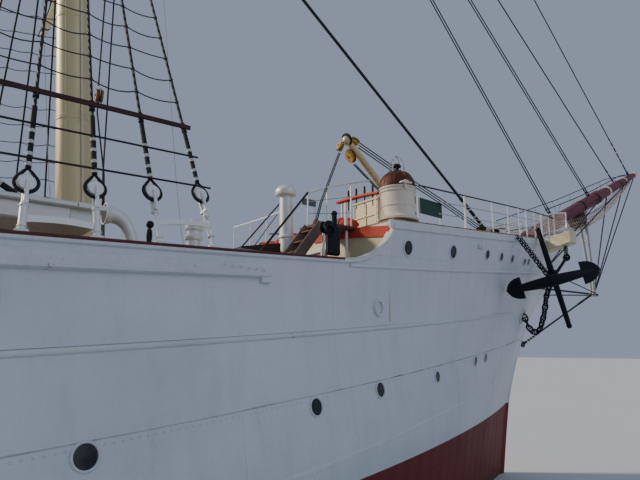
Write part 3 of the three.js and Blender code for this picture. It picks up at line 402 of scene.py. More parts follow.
    def hoop(self, centre: Place, axis: Place, radius: float, thick: float, sides: int = 24,
             inner: int = 8) -> "Form":
        """Adds a ring of round bar, square to an axis."""
        u, v = square_to(np.asarray(axis, float))
        turn = 2 * np.pi * np.arange(sides)[:, None] / sides
        path = np.asarray(centre, float) + radius * (u * np.cos(turn) + v * np.sin(turn))
        return self.tube(path, thick, inner, loop=True)

    def box(self, centre: Array, size: Place, axes: Array | None = None,
            edge: float = 0.015) -> "Form":
        """Adds boxes with cut edges: each corner has three points, set back by the edge.

        Args:
            centre: One place or several.
            size: Full lengths along the three axes.
            axes: Rows of the box's own axes.
            edge: How far the edges are cut.

        Returns:
            The form.
        """
        half = np.asarray(size, float) / 2
        cut = min(edge, half.min() * 0.45)
        own = np.repeat(BOX_SIGNS, 3, 0) * (half - cut * (1 - np.tile(np.eye(3), (8, 1))))
        turned = own @ (np.eye(3) if axes is None else unit(axes))
        for spot in np.atleast_2d(np.asarray(centre, float)):
            self.put(spot + turned, [np.array([f]) for f in BOX_FACES])
        return self

    def plate(self, outline: Sequence[tuple[float, float]], origin: Place, u: Place, v: Place,
              thick: float) -> "Form":
        """Adds a flat plate: an anticlockwise outline on the axes u and v, made thick both ways."""
        u, v = unit(u), unit(v)
        flat = np.asarray(outline, float)
        ring = np.asarray(origin, float) + flat[:, :1] * u + flat[:, 1:] * v
        off = np.cross(u, v) * thick / 2
        return self.loft(np.stack([ring - off, ring + off]))

    def net(self, sheet: Array, radius: float) -> "Form":
        """Adds cords along both directions of a grid of points."""
        self.tube(sheet, radius, 3, cap=False)
        return self.tube(np.swapaxes(sheet, 0, 1), radius, 3, cap=False)

    def join(self, other: "Form") -> "Form":
        """Adds another form's bodies."""
        points = np.concatenate(other.points)
        return self.put(points, other.faces, np.concatenate(other.routes))

    def mirrored(self) -> "Form":
        """The same form on the other side of the ship, with its faces turned to stay outward."""
        made = Form()
        made.put(np.concatenate(self.points) * [1, -1, 1], [f[:, ::-1] for f in self.faces],
                 np.concatenate(self.routes))
        return made

    def along_shell(self, x: Array, z: Array, section: Sequence[Place]) -> "Form":
        """Adds a strip on the starboard plating whose section is rows of (up, out)."""
        spot, out = skin(x, z), shell_normal(x, z)
        up = unit(np.cross(out, unit(np.gradient(spot, axis=0))))
        rows = np.asarray(section, float)
        return self.loft(spot[:, None] + up[:, None] * rows[:, :1] + out[:, None] * rows[:, 1:])

    def ribbon(self, x: Array, y: Array, z: Array, section: Sequence[Place]) -> "Form":
        """Adds a strip on the port side whose section is rows of (outboard, up)."""
        rows = np.asarray(section, float)
        return self.loft(spots(x, y, z)[:, None] + np.pad(rows, ((0, 0), (1, 0))))

    def both(self) -> "Form":
        """This form on both sides of the ship."""
        return self.join(self.mirrored())

    def piece(self, name: str, finish: "Finish", body: str, replaces: Sequence[str],
              crease: float = 32) -> bpy.types.Object:
        """Makes the piece, gives it its finish and sets it on its body.

        Args:
            name: The piece's name.
            finish: What it is covered with.
            body: The body that it rides on.
            replaces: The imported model's nodes that it stands for.
            crease: Edges that turn by more than this many degrees stay sharp.

        Returns:
            The piece.
        """
        mesh = bpy.data.meshes.new(name)
        points = np.concatenate(self.points) * METRE
        faces = [row for group in self.faces for row in group.tolist()]
        mesh.from_pydata(points, [], faces)
        mesh.polygons.foreach_set("use_smooth", np.ones(len(faces), bool))
        route = mesh.attributes.new("route", "FLOAT_VECTOR", "POINT")
        route.data.foreach_set("vector", np.concatenate(self.routes).astype(np.float32).ravel())
        mesh.set_sharp_from_angle(angle=math.radians(crease))
        mesh.update()
        made = bpy.data.objects.new(name, mesh)
        bpy.context.scene.collection.objects.link(made)
        mesh.materials.append(finish.material())
        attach(made, body)
        if replaces:
            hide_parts(*replaces)
        log.info("%s: %d points, %d faces on %s", name, len(points), len(faces), body)
        return made


def hull_rings(aft: Callable, fore: Callable, low: Callable, high: Callable, steps: int,
               levels: int, inset: float = 0.0) -> Array:
    """Closed sections of a stretch of the hull, from its aft to its fore end.

    Stations are spaced as a cosine; each point's x and z are found together by repetition.

    Args:
        aft: The aft end at a height.
        fore: The fore end at a height.
        low: The lower edge at a place.
        high: The upper edge at a place.
        steps: Spaces along the hull.
        levels: Spaces up each side.
        inset: How far inside the plating it stays.

    Returns:
        (steps + 1, 2 levels + 2, 3): up the port side and down the starboard side.
    """
    along = ((1 - np.cos(np.linspace(0, np.pi, steps + 1))) / 2)[:, None]
    t = np.linspace(0, 1, levels + 1)
    x = np.zeros((steps + 1, levels + 1))
    z = x
    for _ in range(14):
        z = low(x) * (1 - t) + high(x) * t
        x = (aft(z) + inset) * (1 - along) + (fore(z) - inset) * along
    y = np.maximum(half_breadth(x, z) - inset, STEM_HALF / 2)
    port = np.stack([x, y, z], -1)
    return np.concatenate([port, (port * [1, -1, 1])[:, ::-1]], 1)


def always(value: float) -> Callable:
    """A function with the same value everywhere."""
    def level(place: Number) -> Array:
        """The value, once for each place."""
        return np.full_like(np.asarray(place, float), value)

    return level


def raised(height: Callable, by: float) -> Callable:
    """A height that runs a distance above another."""
    def level(place: Number) -> Array:
        """The height at each place."""
        return height(place) + by

    return level


# Shader maths
class Wire:
    """A value on its way through a material; arithmetic on it adds its Math nodes."""

    def __init__(self, graph: "Graph", socket: bpy.types.NodeSocket) -> None:
        """Holds a node's output."""
        self.graph, self.socket = graph, socket

    def math(self, operation: str, *others: "Wire | float") -> "Wire":
        """One Math node on this value and others."""
        values = dict(enumerate((self, *others)))
        return self.graph.node("ShaderNodeMath", {"operation": operation}, values)

    def __add__(self, other: "Wire | float") -> "Wire":
        """The sum."""
        return self.math("ADD", other)

    def __sub__(self, other: "Wire | float") -> "Wire":
        """The difference."""
        return self.math("SUBTRACT", other)

    def __mul__(self, other: "Wire | float") -> "Wire":
        """The product."""
        return self.math("MULTIPLY", other)

    def __rsub__(self, other: float) -> "Wire":
        """A number less this value."""
        return self.graph.node("ShaderNodeMath", {"operation": "SUBTRACT"}, {0: other, 1: self})

    __radd__ = __add__
    __rmul__ = __mul__

    def __abs__(self) -> "Wire":
        """The value without its sign."""
        return self.math("ABSOLUTE")

    def most(self, other: "Wire | float") -> "Wire":
        """The larger of two values."""
        return self.math("MAXIMUM", other)

    def clipped(self) -> "Wire":
        """The value held between 0 and 1."""
        return self.graph.node("ShaderNodeClamp", {}, {0: self})

    def fade(self, low: float, high: float) -> "Wire":
        """A smooth step: 0 at low and 1 at high, or the other way round."""
        return self.graph.node(
            "ShaderNodeMapRange", {"interpolation_type": "SMOOTHSTEP"}, {0: self, 1: low, 2: high})

    def near(self, value: float, width: float) -> "Wire":
        """1 at a value, fading to 0 a width away."""
        return abs(self - value).fade(width, 0.0)


class Graph:
    """The node tree of one material."""

    def __init__(self, name: str) -> None:
        """Starts an empty tree."""
        self.made = bpy.data.materials.new(name)
        self.made.use_nodes = True
        self.tree = self.made.node_tree
        self.tree.nodes.clear()

    def node(self, kind: str, settings: dict, inputs: dict, out: int | str = 0) -> Wire:
        """Adds one node.

        Args:
            kind: The node's type.
            settings: What is set on the node itself.
            inputs: A value or a link for each socket.
            out: The output that is wanted.

        Returns:
            That output.
        """
        made = self.tree.nodes.new(kind)
        for key, value in settings.items():
            setattr(made, key, value)
        for key, value in inputs.items():
            if isinstance(value, Wire):
                self.tree.links.new(value.socket, made.inputs[key])
            else:
                made.inputs[key].default_value = value
        return Wire(self, made.outputs[out])

    def place(self) -> Wire:
        """The point on the piece, in metres of the real ship."""
        spot = self.node("ShaderNodeTexCoord", {}, {}, "Object")
        return self.node("ShaderNodeVectorMath", {"operation": "SCALE"}, {0: spot, "Scale": 1 / METRE})

    def route(self) -> Wire:
        """The cosine and sine round a bar and the distance along it."""
        return self.node("ShaderNodeAttribute", {"attribute_name": "route"}, {}, "Vector")

    def parts(self, vector: Wire) -> tuple[Wire, Wire, Wire]:
        """A vector's three numbers."""
        split = self.node("ShaderNodeSeparateXYZ", {}, {0: vector}).socket.node
        return tuple(Wire(self, split.outputs[i]) for i in range(3))

    def stretched(self, vector: Wire, by: Colour) -> Wire:
        """A vector multiplied along each axis."""
        return self.node("ShaderNodeVectorMath", {"operation": "MULTIPLY"}, {0: vector, 1: by})

    def noise(self, vector: Wire, scale: float, detail: float = 4, rough: float = 0.55) -> Wire:
        """Cloudy noise between 0 and 1."""
        return self.node("ShaderNodeTexNoise", {}, {
            "Vector": vector, "Scale": scale, "Detail": detail, "Roughness": rough})

    def blend(self, share: Wire | float, a: Wire | Colour, b: Wire | Colour) -> Wire:
        """Colour a where the share is 0 and b where it is 1."""
        a, b = [c if isinstance(c, Wire) else (*c, 1.0) for c in (a, b)]
        return self.node("ShaderNodeMix", {"data_type": "RGBA"}, {0: share, 6: a, 7: b}, 2)

    def bump(self, height: Wire, distance: float, strength: float = 1.0) -> Wire:
        """A normal from a height, in metres of the real ship."""
        return self.node("ShaderNodeBump", {}, {
            "Height": height, "Distance": distance * METRE, "Strength": strength})

    def surface(self, **inputs: "Wire | float | Colour") -> bpy.types.Material:
        """Ends the tree in a Principled surface; underscores in names stand for spaces."""
        values = {key.replace("_", " "): (*v, 1.0) if isinstance(v, tuple) and len(v) == 3 else v
                  for key, v in inputs.items()}
        shader = self.node("ShaderNodeBsdfPrincipled", {}, values)
        out = self.tree.nodes.new("ShaderNodeOutputMaterial")
        self.tree.links.new(shader.socket, out.inputs[0])
        return self.made


def tint(red: int, green: int, blue: int) -> Colour:
    """A colour from its screen values, 0 to 255."""
    return tuple(round((v / 255) ** 2.2, 4) for v in (red, green, blue))


# Finishes
@dataclass(frozen=True)
class Finish:
    """A covering with a name and its slot in the record; each is made once."""

    name: str
    slot: str

    def material(self) -> bpy.types.Material:
        """The material, made the first time it is asked for."""
        return bpy.data.materials.get(self.name) or self.make(Graph(self.name))

    def make(self, g: Graph) -> bpy.types.Material:
        """Fills the material's tree."""
        raise NotImplementedError


@dataclass(frozen=True)
class Paint(Finish):
    """Brushed oil paint on steel or wood, with clouded tone, runs of dirt, chips and rust."""

    colour: Colour
    under: Colour = tint(104, 62, 40)
    rough: float = 0.42
    dirt: float = 0.25
    chips: float = 0.7
    streaks: float = 0.35
    lumps: float = 0.004

    def make(self, g: Graph) -> bpy.types.Material:
        """Broad clouds darken it, upright streaks run down it, and small chips show what is under."""
        p = g.place()
        cloud = g.noise(p, 0.55, 5)
        fine = g.noise(p, 14.0, 6, 0.65)
        run = g.noise(g.stretched(p, (5.0, 5.0, 0.45)), 1.0, 6, 0.6)
        grime = (cloud.fade(0.35, 0.75) * 0.55 + run.fade(0.5, 0.78) * self.streaks) * self.dirt
        chip = (g.noise(p, 5.5, 8, 0.7) + g.noise(p, 0.9, 2) * 0.35).fade(self.chips + 0.16, self.chips + 0.2)
        body = g.blend(grime, self.colour, tuple(c * 0.42 for c in self.colour))
        body = g.blend(chip * 0.85, g.blend(fine.fade(0.3, 0.8) * 0.1, body, self.under), self.under)
        brush = g.noise(g.stretched(p, (18.0, 18.0, 3.0)), 1.0, 3)
        height = brush * 0.5 + fine * 0.3 - chip * 0.6 + g.noise(p, 1.7, 2) * 1.5
        return g.surface(
            Base_Color=body, Roughness=(self.rough + cloud * 0.18 + grime * 0.3 + chip * 0.3).clipped(),
            Normal=g.bump(height, self.lumps))


@dataclass(frozen=True)
class ShellPaint(Finish):
    """Paint on riveted shell plating: strakes, butts, rivets, hungry-horse ripple and rust runs."""

    colour: Colour
    seam: Colour = tint(112, 74, 62)
    wet: float = 0.0
    rough: float = 0.4

    def make(self, g: Graph) -> bpy.types.Material:
        """Below the rail, strakes lap at set depths; frames and butts follow x; runs hang from seams; one lap
        has a painted highlight.
        """
        p = g.place()
        x, _, z = g.parts(p)
        below = x * x * (x.fade(-0.01, 0.01) * 0.00064 + 0.0009) + 5.07 - z
        cloud = g.noise(p, 0.32, 6, 0.6)
        blotch = g.noise(p, 1.6, 5, 0.6)
        fine = g.noise(p, 16.0, 5, 0.65)
        broken = g.noise(g.stretched(p, (0.5, 0.5, 4.0)), 1.0, 6, 0.7)
        run = g.noise(g.stretched(p, (3.2, 3.2, 0.16)), 1.0, 7, 0.62)
        drip = g.noise(g.stretched(p, (9.0, 9.0, 0.3)), 1.0, 4, 0.6)
        seams, lap = None, None
        for place, way in ((-0.1, 1), (2.485, -1), (3.6, 1), (4.75, -1), (5.9, 1), (7.1, -1)):
            line = below.near(place, 0.022)
            step = below.fade(place - 0.012, place + 0.012) * way
            seams = line if seams is None else seams.most(line)
            lap = step if lap is None else lap + step
        bay = (x * (1 / 0.62)).math("FRACT")
        frame_line = bay.near(0.5, 0.5)
        butt = ((x + below.fade(2.4, 2.5) * 2.3 + below.fade(3.5, 3.6) * 1.9) * (1 / 5.6)).math("FRACT")
        butt = butt.near(0.5, 0.0035)
        rivet = ((x * 9.0).math("FRACT").near(0.5, 0.26) * (
            below.near(2.55, 0.022).most(below.near(3.66, 0.022)).most(below.near(4.81, 0.022))))
        rust_line = below.near(2.485, 0.02) * broken.fade(0.42, 0.6)
        under_seam = below.fade(2.48, 2.52) * below.fade(4.2, 2.6)
        rust = (rust_line * 0.85 + under_seam * run.fade(0.62, 0.8) * drip.fade(0.5, 0.72) * 0.28
                + butt * broken.fade(0.55, 0.7) * 0.25).clipped()
        grime = (cloud.fade(0.3, 0.78) * 0.22 + run.fade(0.45, 0.8) * 0.16 + blotch.fade(0.5, 0.8) * 0.08
                 + z.fade(3.2, 0.2) * 0.16 * blotch.fade(0.25, 0.7)).clipped()
        # A line paler than the paint along the lap 3.6 below the rail: painted highlight where the lap's edge
        # catches the light.
        pale = below.near(3.6, 0.03) * 0.5
        body = g.blend(grime, self.colour, tuple(c * f for c, f in zip(self.colour, (0.42, 0.46, 0.52))))
        body = g.blend(pale, body, tuple(min(c * 1.25, 0.95) for c in self.colour))
        body = g.blend(fine.fade(0.4, 0.8) * 0.06, body, self.seam)
        body = g.blend(rust, body, self.seam)
        if self.wet:
            weed = (z + blotch * 0.5).fade(0.7, 0.05) * self.wet
            body = g.blend(weed, body, tint(44, 46, 34))
        height = (lap * 1.6 + seams * 0.5 + butt * 0.8 + rivet * 1.3 + frame_line * 1.1
                  + g.noise(g.stretched(p, (0.8, 0.8, 0.5)), 1.0, 3) * 9.0 + blotch * 1.6 + fine * 0.25)
        return g.surface(
            Base_Color=body, Roughness=(self.rough + cloud * 0.22 + rust * 0.3).clipped(),
            Normal=g.bump(height, 0.008))


@dataclass(frozen=True)
class Planks(Finish):
    """Laid deck planks with pitched seams, butts and grain."""

    colour: Colour = tint(176, 148, 112)
    width: float = 0.13
    seam: Colour = tint(34, 30, 28)
    rough: float = 0.62

    def make(self, g: Graph) -> bpy.types.Material:
        """Seams repeat across y; each plank has its own tone, grain along x and staggered butts."""
        p = g.place()
        x, y, _ = g.parts(p)
        across = (y + 20.0) * (1 / self.width)
        number = across.math("FLOOR")
        seam = across.math("FRACT").near(0.0, 0.07).most(across.math("FRACT").near(1.0, 0.07))
        own = (number * 0.618).math("FRACT")
        butt = ((x + own * 5.0) * 0.2).math("FRACT").near(0.5, 0.0035)
        grain = g.noise(g.stretched(p, (0.9, 16.0, 6.0)), 1.6, 7, 0.6)
        cloud = g.noise(p, 0.5, 4)
        tone = g.blend(own * 0.5, self.colour, tuple(c * 0.62 for c in self.colour))
        tone = g.blend(grain.fade(0.35, 0.75) * 0.5, tone, tuple(c * 0.5 for c in self.colour))
        tone = g.blend(cloud.fade(0.45, 0.8) * 0.35, tone, tint(120, 112, 100))
        gap = seam.most(butt)
        return g.surface(
            Base_Color=g.blend(gap * 0.92, tone, self.seam),
            Roughness=(self.rough + grain * 0.2 - gap * 0.15).clipped(),
            Normal=g.bump(grain * 0.3 - gap * 1.2, 0.006))


@dataclass(frozen=True)
class Timber(Finish):
    """Oiled or varnished wood with grain, worn at random."""

    colour: Colour
    rough: float = 0.4
    coat: float = 0.0
    grain: float = 1.0

    def make(self, g: Graph) -> bpy.types.Material:
        """Long grain along x, rings of tone, and greyed patches."""
        p = g.place()
        grain = g.noise(g.stretched(p, (1.2, 14.0, 14.0)), 1.5, 8, 0.62)
        ring = g.noise(g.stretched(p, (0.5, 4.0, 4.0)), 1.2, 3)
        cloud = g.noise(p, 1.1, 4)
        tone = g.blend(grain.fade(0.3, 0.75) * 0.7 * self.grain, self.colour,
                       tuple(c * 0.4 for c in self.colour))
        tone = g.blend(ring.fade(0.4, 0.7) * 0.3, tone, tuple(min(c * 1.5, 0.9) for c in self.colour))
        tone = g.blend(cloud.fade(0.55, 0.85) * 0.3, tone, tint(96, 88, 78))
        return g.surface(
            Base_Color=tone, Roughness=(self.rough + grain * 0.2 + cloud * 0.1).clipped(),
            Coat_Weight=self.coat, Coat_Roughness=0.12, Normal=g.bump(grain + ring * 0.5, 0.004))


@dataclass(frozen=True)
class Rope(Finish):
    """Laid wire or fibre rope: strands wind round the route of the bar."""

    colour: Colour
    light: Colour
    lay: float = 0.16
    strands: int = 4
    rough: float = 0.62

    def make(self, g: Graph) -> bpy.types.Material:
        """The strand's height is the sine of the angle round the rope plus the distance along it."""
        cosine, sine, along = g.parts(g.route())
        angle = g.node("ShaderNodeMath", {"operation": "ARCTAN2"}, {0: sine, 1: cosine})
        strand = (angle * float(self.strands) + along * (2 * math.pi / self.lay)).math("SINE") * 0.5 + 0.5
        p = g.place()
        cloud, fine = g.noise(p, 1.3, 5), g.noise(p, 30.0, 4, 0.7)
        tone = g.blend(strand.fade(0.2, 0.95) * 0.4 + fine.fade(0.5, 0.8) * 0.25, self.colour, self.light)
        tone = g.blend(cloud.fade(0.5, 0.8) * 0.4, tone, tuple(c * 0.5 for c in self.light))
        return g.surface(
            Base_Color=tone, Roughness=(self.rough + fine * 0.2 - strand * 0.1).clipped(),
            Normal=g.bump(strand + fine * 0.3, 0.006))


@dataclass(frozen=True)
class Metal(Finish):
    """Bare or tarnished metal."""

    colour: Colour
    patina: Colour
    rough: float = 0.35
    metallic: float = 1.0
    spread: float = 0.5

    def make(self, g: Graph) -> bpy.types.Material:
        """Tarnish in clouds and runs; scratches change the gloss."""
        p = g.place()
        cloud = g.noise(p, 2.2, 6, 0.6)
        run = g.noise(g.stretched(p, (9.0, 9.0, 0.8)), 1.0, 5)
        fine = g.noise(p, 26.0, 5, 0.7)
        dull = (cloud.fade(0.4, 0.7) * 0.6 + run.fade(0.48, 0.75) * 0.5 + fine * 0.12).clipped()
        return g.surface(
            Base_Color=g.blend(dull * self.spread, self.colour, self.patina),
            Metallic=((1 - dull * self.spread * 0.6) * self.metallic).clipped(),
            Roughness=(self.rough + dull * 0.35 + fine * 0.08).clipped(),
            Normal=g.bump(fine * 0.4 + cloud, 0.003))


@dataclass(frozen=True)
class Pane(Finish):
    """Thick window glass coloured near black, painted shade for the dim rooms behind it, with a film of salt.
    """

    # Near black: painted shade for the unlit inside seen through the glass.
    colour: Colour = tint(7, 9, 13)

    def make(self, g: Graph) -> bpy.types.Material:
        """Salt lies in clouds and dulls the gloss."""
        p = g.place()
        salt = g.noise(p, 6.0, 5, 0.6).fade(0.45, 0.8)
        return g.surface(
            Base_Color=g.blend(salt * 0.12, self.colour, tint(90, 100, 108)),
            Roughness=(0.16 + salt * 0.3).clipped(), Coat_Weight=0.1, Coat_Roughness=0.05,
            Normal=g.bump(g.noise(p, 2.0, 2), 0.004))


WHITE = tint(214, 219, 224)
HULL_WHITE = ShellPaint("shell_white", "hull_white", WHITE)
HULL_RED = ShellPaint("shell_red", "hull_red", tint(112, 34, 32), seam=tint(60, 26, 22), wet=0.8, rough=0.55)
TRIM_WHITE = Paint("trim_white", "hull_white", tint(216, 220, 223), dirt=0.3, streaks=0.5)
FITTING_WHITE = Paint("fitting_white", "fitting_white", tint(222, 222, 214), dirt=0.35, streaks=0.4)
# Cream paint; on the catheads and the break bulkhead this warm cream is painted sunlight on white paint.
SUNLIT_CREAM = Paint("cream_paint", "fitting_white", tint(218, 208, 172), dirt=0.3, streaks=0.4)
CREAM_WHITE = Paint("tower_white", "fitting_white", tint(224, 216, 200), dirt=0.35, streaks=0.5)
BOARD_GREY = Paint("board_grey", "striker_grey", tint(92, 100, 116), dirt=0.3)
BUFF = Paint("spar_buff", "spar_buff", tint(192, 180, 124), dirt=0.22, streaks=0.45, rough=0.36)
MAROON = Paint(
    "spar_maroon", "spar_maroon", tint(112, 28, 50), under=tint(60, 40, 40), dirt=0.35, rough=0.34)
RAIL_BROWN = Paint(
    "rail_brown", "varnished_wood", tint(84, 36, 32), under=tint(120, 96, 78), dirt=0.35, rough=0.5)
RED_LEAD = Paint("red_lead", "hull_red", tint(190, 64, 38), dirt=0.4, rough=0.6)
GREY = Paint("striker_grey", "striker_grey", tint(148, 156, 162), dirt=0.3)
ROOF_GREY = Paint("roof_grey", "striker_grey", tint(150, 156, 158), dirt=0.4, rough=0.6)
BLACK = Paint(
    "anchor_black", "anchor_black", tint(22, 26, 36), under=tint(74, 50, 40), dirt=0.2, rough=0.5)
IRON = Paint("black_iron", "rigging_black", tint(26, 27, 30), under=tint(84, 56, 42), dirt=0.2, rough=0.55)
WIRE = Rope("tarred_wire", "rigging_black", tint(20, 21, 24), tint(58, 58, 62))
SERVED = Rope("served_wire", "rigging_black", tint(14, 15, 18), tint(40, 40, 44), lay=0.03, strands=1)
HEMP = Rope("hemp_rope", "rigging_black", tint(46, 42, 40), tint(104, 94, 80))
CORD = Rope("white_cord", "fitting_white", tint(206, 208, 206), tint(150, 152, 150), lay=0.05)
DECK = Planks("deck_planks", "deck_wood")
TEAK = Timber("teak", "varnished_wood", tint(128, 76, 40), coat=0.25)
BATTEN = Timber("batten_brown", "varnished_wood", tint(66, 40, 34), rough=0.6)
OCHRE = Timber("block_ochre", "varnished_wood", tint(200, 152, 66), rough=0.5, grain=0.6)
COPPER = Metal("dome_copper", "bronze", tint(104, 66, 48), tint(48, 38, 36), rough=0.4, metallic=0.75,
               spread=0.8)
BRONZE = Metal("propeller_bronze", "bronze", tint(176, 132, 66), tint(70, 84, 60), rough=0.32)
OLIVE = Paint("bundle_olive", "fitting_white", tint(62, 56, 34), dirt=0.3, rough=0.7)
NET = Rope("net_cord", "fitting_white", tint(214, 196, 188), tint(160, 120, 110), lay=0.05)
RED_GEAR = Paint("red_gear", "hull_red", tint(188, 58, 44), under=tint(70, 34, 28), dirt=0.6, rough=0.6,
                 lumps=0.02)
LADDER = Paint("ladder_brown", "varnished_wood", tint(112, 98, 92), dirt=0.4, rough=0.6)
GREEN_BOARD = Paint("green_board", "fitting_white", tint(18, 72, 62), dirt=0.4)
COVER = Paint("cover_white", "fitting_white", tint(212, 208, 192), dirt=0.4, rough=0.7, lumps=0.02)
GLASS = Pane("port_glass", "anchor_black")


# Assemblies
@dataclass
class Assembly:
    """A part of the ship: forms gathered by finish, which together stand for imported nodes."""

    name: str
    nodes: tuple[str, ...] = ()
    body: str = "hull"
    forms: dict[Finish, Form] = field(default_factory=dict, init=False)

    def of(self, finish: Finish) -> Form:
        """The form with a finish."""
        return self.forms.setdefault(finish, Form())

    def on_both_sides(self, other: "Assembly") -> None:
        """Adds another assembly's forms and their mirror images."""
        for finish, form in other.forms.items():
            self.of(finish).join(form.both())

    def build(self) -> None:
        """Fills the forms."""
        raise NotImplementedError

    def dress(self) -> None:
        """Makes one piece of each form."""
        for finish, form in self.forms.items():
            form.piece(f"{self.name}_{finish.name}", finish, self.body, self.nodes)

    def port(self, centre: Array, out: Array, radius: float, rim: Finish = TRIM_WHITE) -> None:
        """Adds a round window: a turned rim with glass set back in it."""
        r = radius
        self.of(rim).turned(
            [(r * 1.24, -0.05), (r * 1.26, 0.012), (r * 1.16, 0.03), (r * 1.03, 0.026), (r, 0.005),
             (r, -0.05)],
            centre, out, 28, loop=True)
        self.of(GLASS).turned([(0, -0.04), (r * 1.02, -0.04), (r * 1.02, 0.006), (0, 0.009)], centre, out, 28)

    def fairlead(self, centre: Array, out: Array, radius: float) -> None:
        """Adds a round hole in the plating: a rounded lip, and a black disc in the throat as painted shade
        for the hole's depth.
        """
        r = radius
        self.of(TRIM_WHITE).turned([
            (r * 1.42, -0.05), (r * 1.45, 0.02), (r * 1.3, 0.06), (r * 1.05, 0.05), (r * 0.95, 0.0),
            (r * 0.95, -0.05)],
            centre, out, 28, loop=True)
        # Black disc: painted shade for the dark inside of the hole.
        self.of(BLACK).turned([(0, -0.05), (r, -0.05), (r, -0.01), (0, -0.02)], centre, out, 28)

    def window(self, centre: Array, out: Array, width: float, height: float, frame: Finish = TEAK) -> None:
        """Adds a square window: glass in a frame of four bars."""
        side = np.cross(out, UP)
        axes = np.array([side, out, UP])
        self.of(GLASS).box(centre, (width, 0.04, height), axes)
        for way in (-1, 1):
            self.of(frame).box(centre + side * way * (width / 2 + 0.03), (0.06, 0.09, height + 0.12), axes)
            self.of(frame).box(centre + UP * way * (height / 2 + 0.03), (width, 0.09, 0.06), axes)

    def door(self, foot: Array, out: Array, finish: Finish = TEAK) -> None:
        """Adds a door over its sill: leaf, two raised panels, frame and knob."""
        side = np.cross(out, UP)
        axes = np.array([side, out, UP])
        self.of(finish).box(foot + UP * 0.98, (0.72, 0.08, 1.72), axes)
        for z, tall in ((0.55, 0.6), (1.36, 0.62)):
            self.of(finish).box(foot + UP * z + out * 0.045, (0.5, 0.03, tall), axes, 0.012)
        for way in (-1, 1):
            self.of(TRIM_WHITE).box(foot + UP * 1.0 + side * way * 0.41, (0.09, 0.12, 1.86), axes)
        self.of(TRIM_WHITE).box(foot + UP * 1.9, (0.9, 0.14, 0.09), axes)
        self.of(TRIM_WHITE).box(foot + UP * 0.09, (0.9, 0.16, 0.1), axes)
        self.of(BRONZE).ball(foot + UP * 0.95 + side * 0.28 + out * 0.07, 0.035)

    def railing(self, feet: Array, heights: Sequence[float], finish: Finish, radius: float = 0.02) -> None:
        """Adds stanchions on a row of feet, with rails through them at some heights."""
        feet = np.asarray(feet, float)
        top = feet + UP * max(heights)
        self.of(finish).bars(feet - UP * 0.03, top, radius * 1.1)
        for height in heights:
            self.of(finish).tube(feet + UP * height, radius, 6)
        for spot in top:
            self.of(finish).ball(spot, radius * 1.9, 6)

    def block(self, centre: Array, run: Array, size: float, finish: Finish = OCHRE) -> None:
        """Adds a pulley block: two oval cheeks, an iron strap and a pin."""
        across, side = square_to(run)
        oval = np.linspace(0, 2 * np.pi, 15)[:-1]
        outline = np.stack([np.cos(oval) * 0.62, np.sin(oval)], 1) * size
        for way, share in ((-1, 1.0), (0, 0.8), (1, 1.0)):
            self.of(finish).plate(
                outline * share, centre + across * way * size * 0.36, side, run, size * 0.26)
        self.of(IRON).hoop(centre, across, size * 1.02, size * 0.1, 16, 5)
        self.of(IRON).bar(centre - across * size * 0.6, centre + across * size * 0.6, size * 0.13)


def chain(form: Form, path: Array, size: float, stud: bool = True) -> None:
    """Adds a chain of oval links that lie in turn flat and on edge along a path.

    Args:
        form: What it is added to.
        path: Points that the chain follows.
        size: A link's half length.
        stud: Whether each link has a bar across it.
    """
    step = np.linalg.norm(np.diff(path, axis=0), axis=1)
    far = np.concatenate([[0], np.cumsum(step)])
    at = np.arange(size * 0.8, far[-1], size * 1.35)
    spot = np.stack([np.interp(at, far, path[:, i]) for i in range(3)], 1)
    run = unit(np.gradient(spot, axis=0))
    u = unit(np.cross(run, [0.21, 0.43, 0.87]))
    v = np.cross(run, u)
    odd = (np.arange(len(at)) % 2)[:, None]
    side = unit(np.where(odd, u, v))
    turn = np.linspace(0, 2 * np.pi, 13)[:-1]
    oval = (spot[:, None] + run[:, None] * (np.cos(turn) * size)[:, None]
            + side[:, None] * (np.sin(turn) * size * 0.62)[:, None])
    form.tube(oval, size * 0.21, 5, loop=True)
    if stud:
        form.bars(spot - side * size * 0.5, spot + side * size * 0.5, size * 0.15, 5)


@dataclass
class Bottom(Assembly):
    """The red bottom: plating under the paint line, heel, stern tube and bilge keels."""

    aperture: tuple[float, float, float, float] = (-34.45, -33.05, -3.5, -0.7)

    def build(self) -> None:
        """Lofts the four stretches round the aperture."""
        aft, fore, low, high = self.aperture
        form = self.of(HULL_RED)
        keel = always(KEEL_Z)
        form.loft(hull_rings(always(fore), stem_x, keel, paint_z, 130, 22))
        form.loft(hull_rings(stern_x, always(fore), always(high), paint_z, 16, 10))
        form.loft(hull_rings(stern_x, always(aft), keel, always(high), 3, 10))
        form.loft(hull_rings(always(aft), always(fore), keel, always(low), 3, 4))
        form.box((-34.95, 0, KEEL_Z + 0.085), (1.2, 0.24, 0.17))
        form.bar((fore + 2.5, 0, -2.1), (fore - 0.1, 0, -2.1), 0.32, 0.22, 24)
        for side in (-1, 1):
            form.plate([(0, 0), (22, 0), (21.4, 0.35), (0.6, 0.35)], (-8, side * 5.05, -3.5),
                       FORWARD, (0, side * 0.75, -0.66), 0.06)


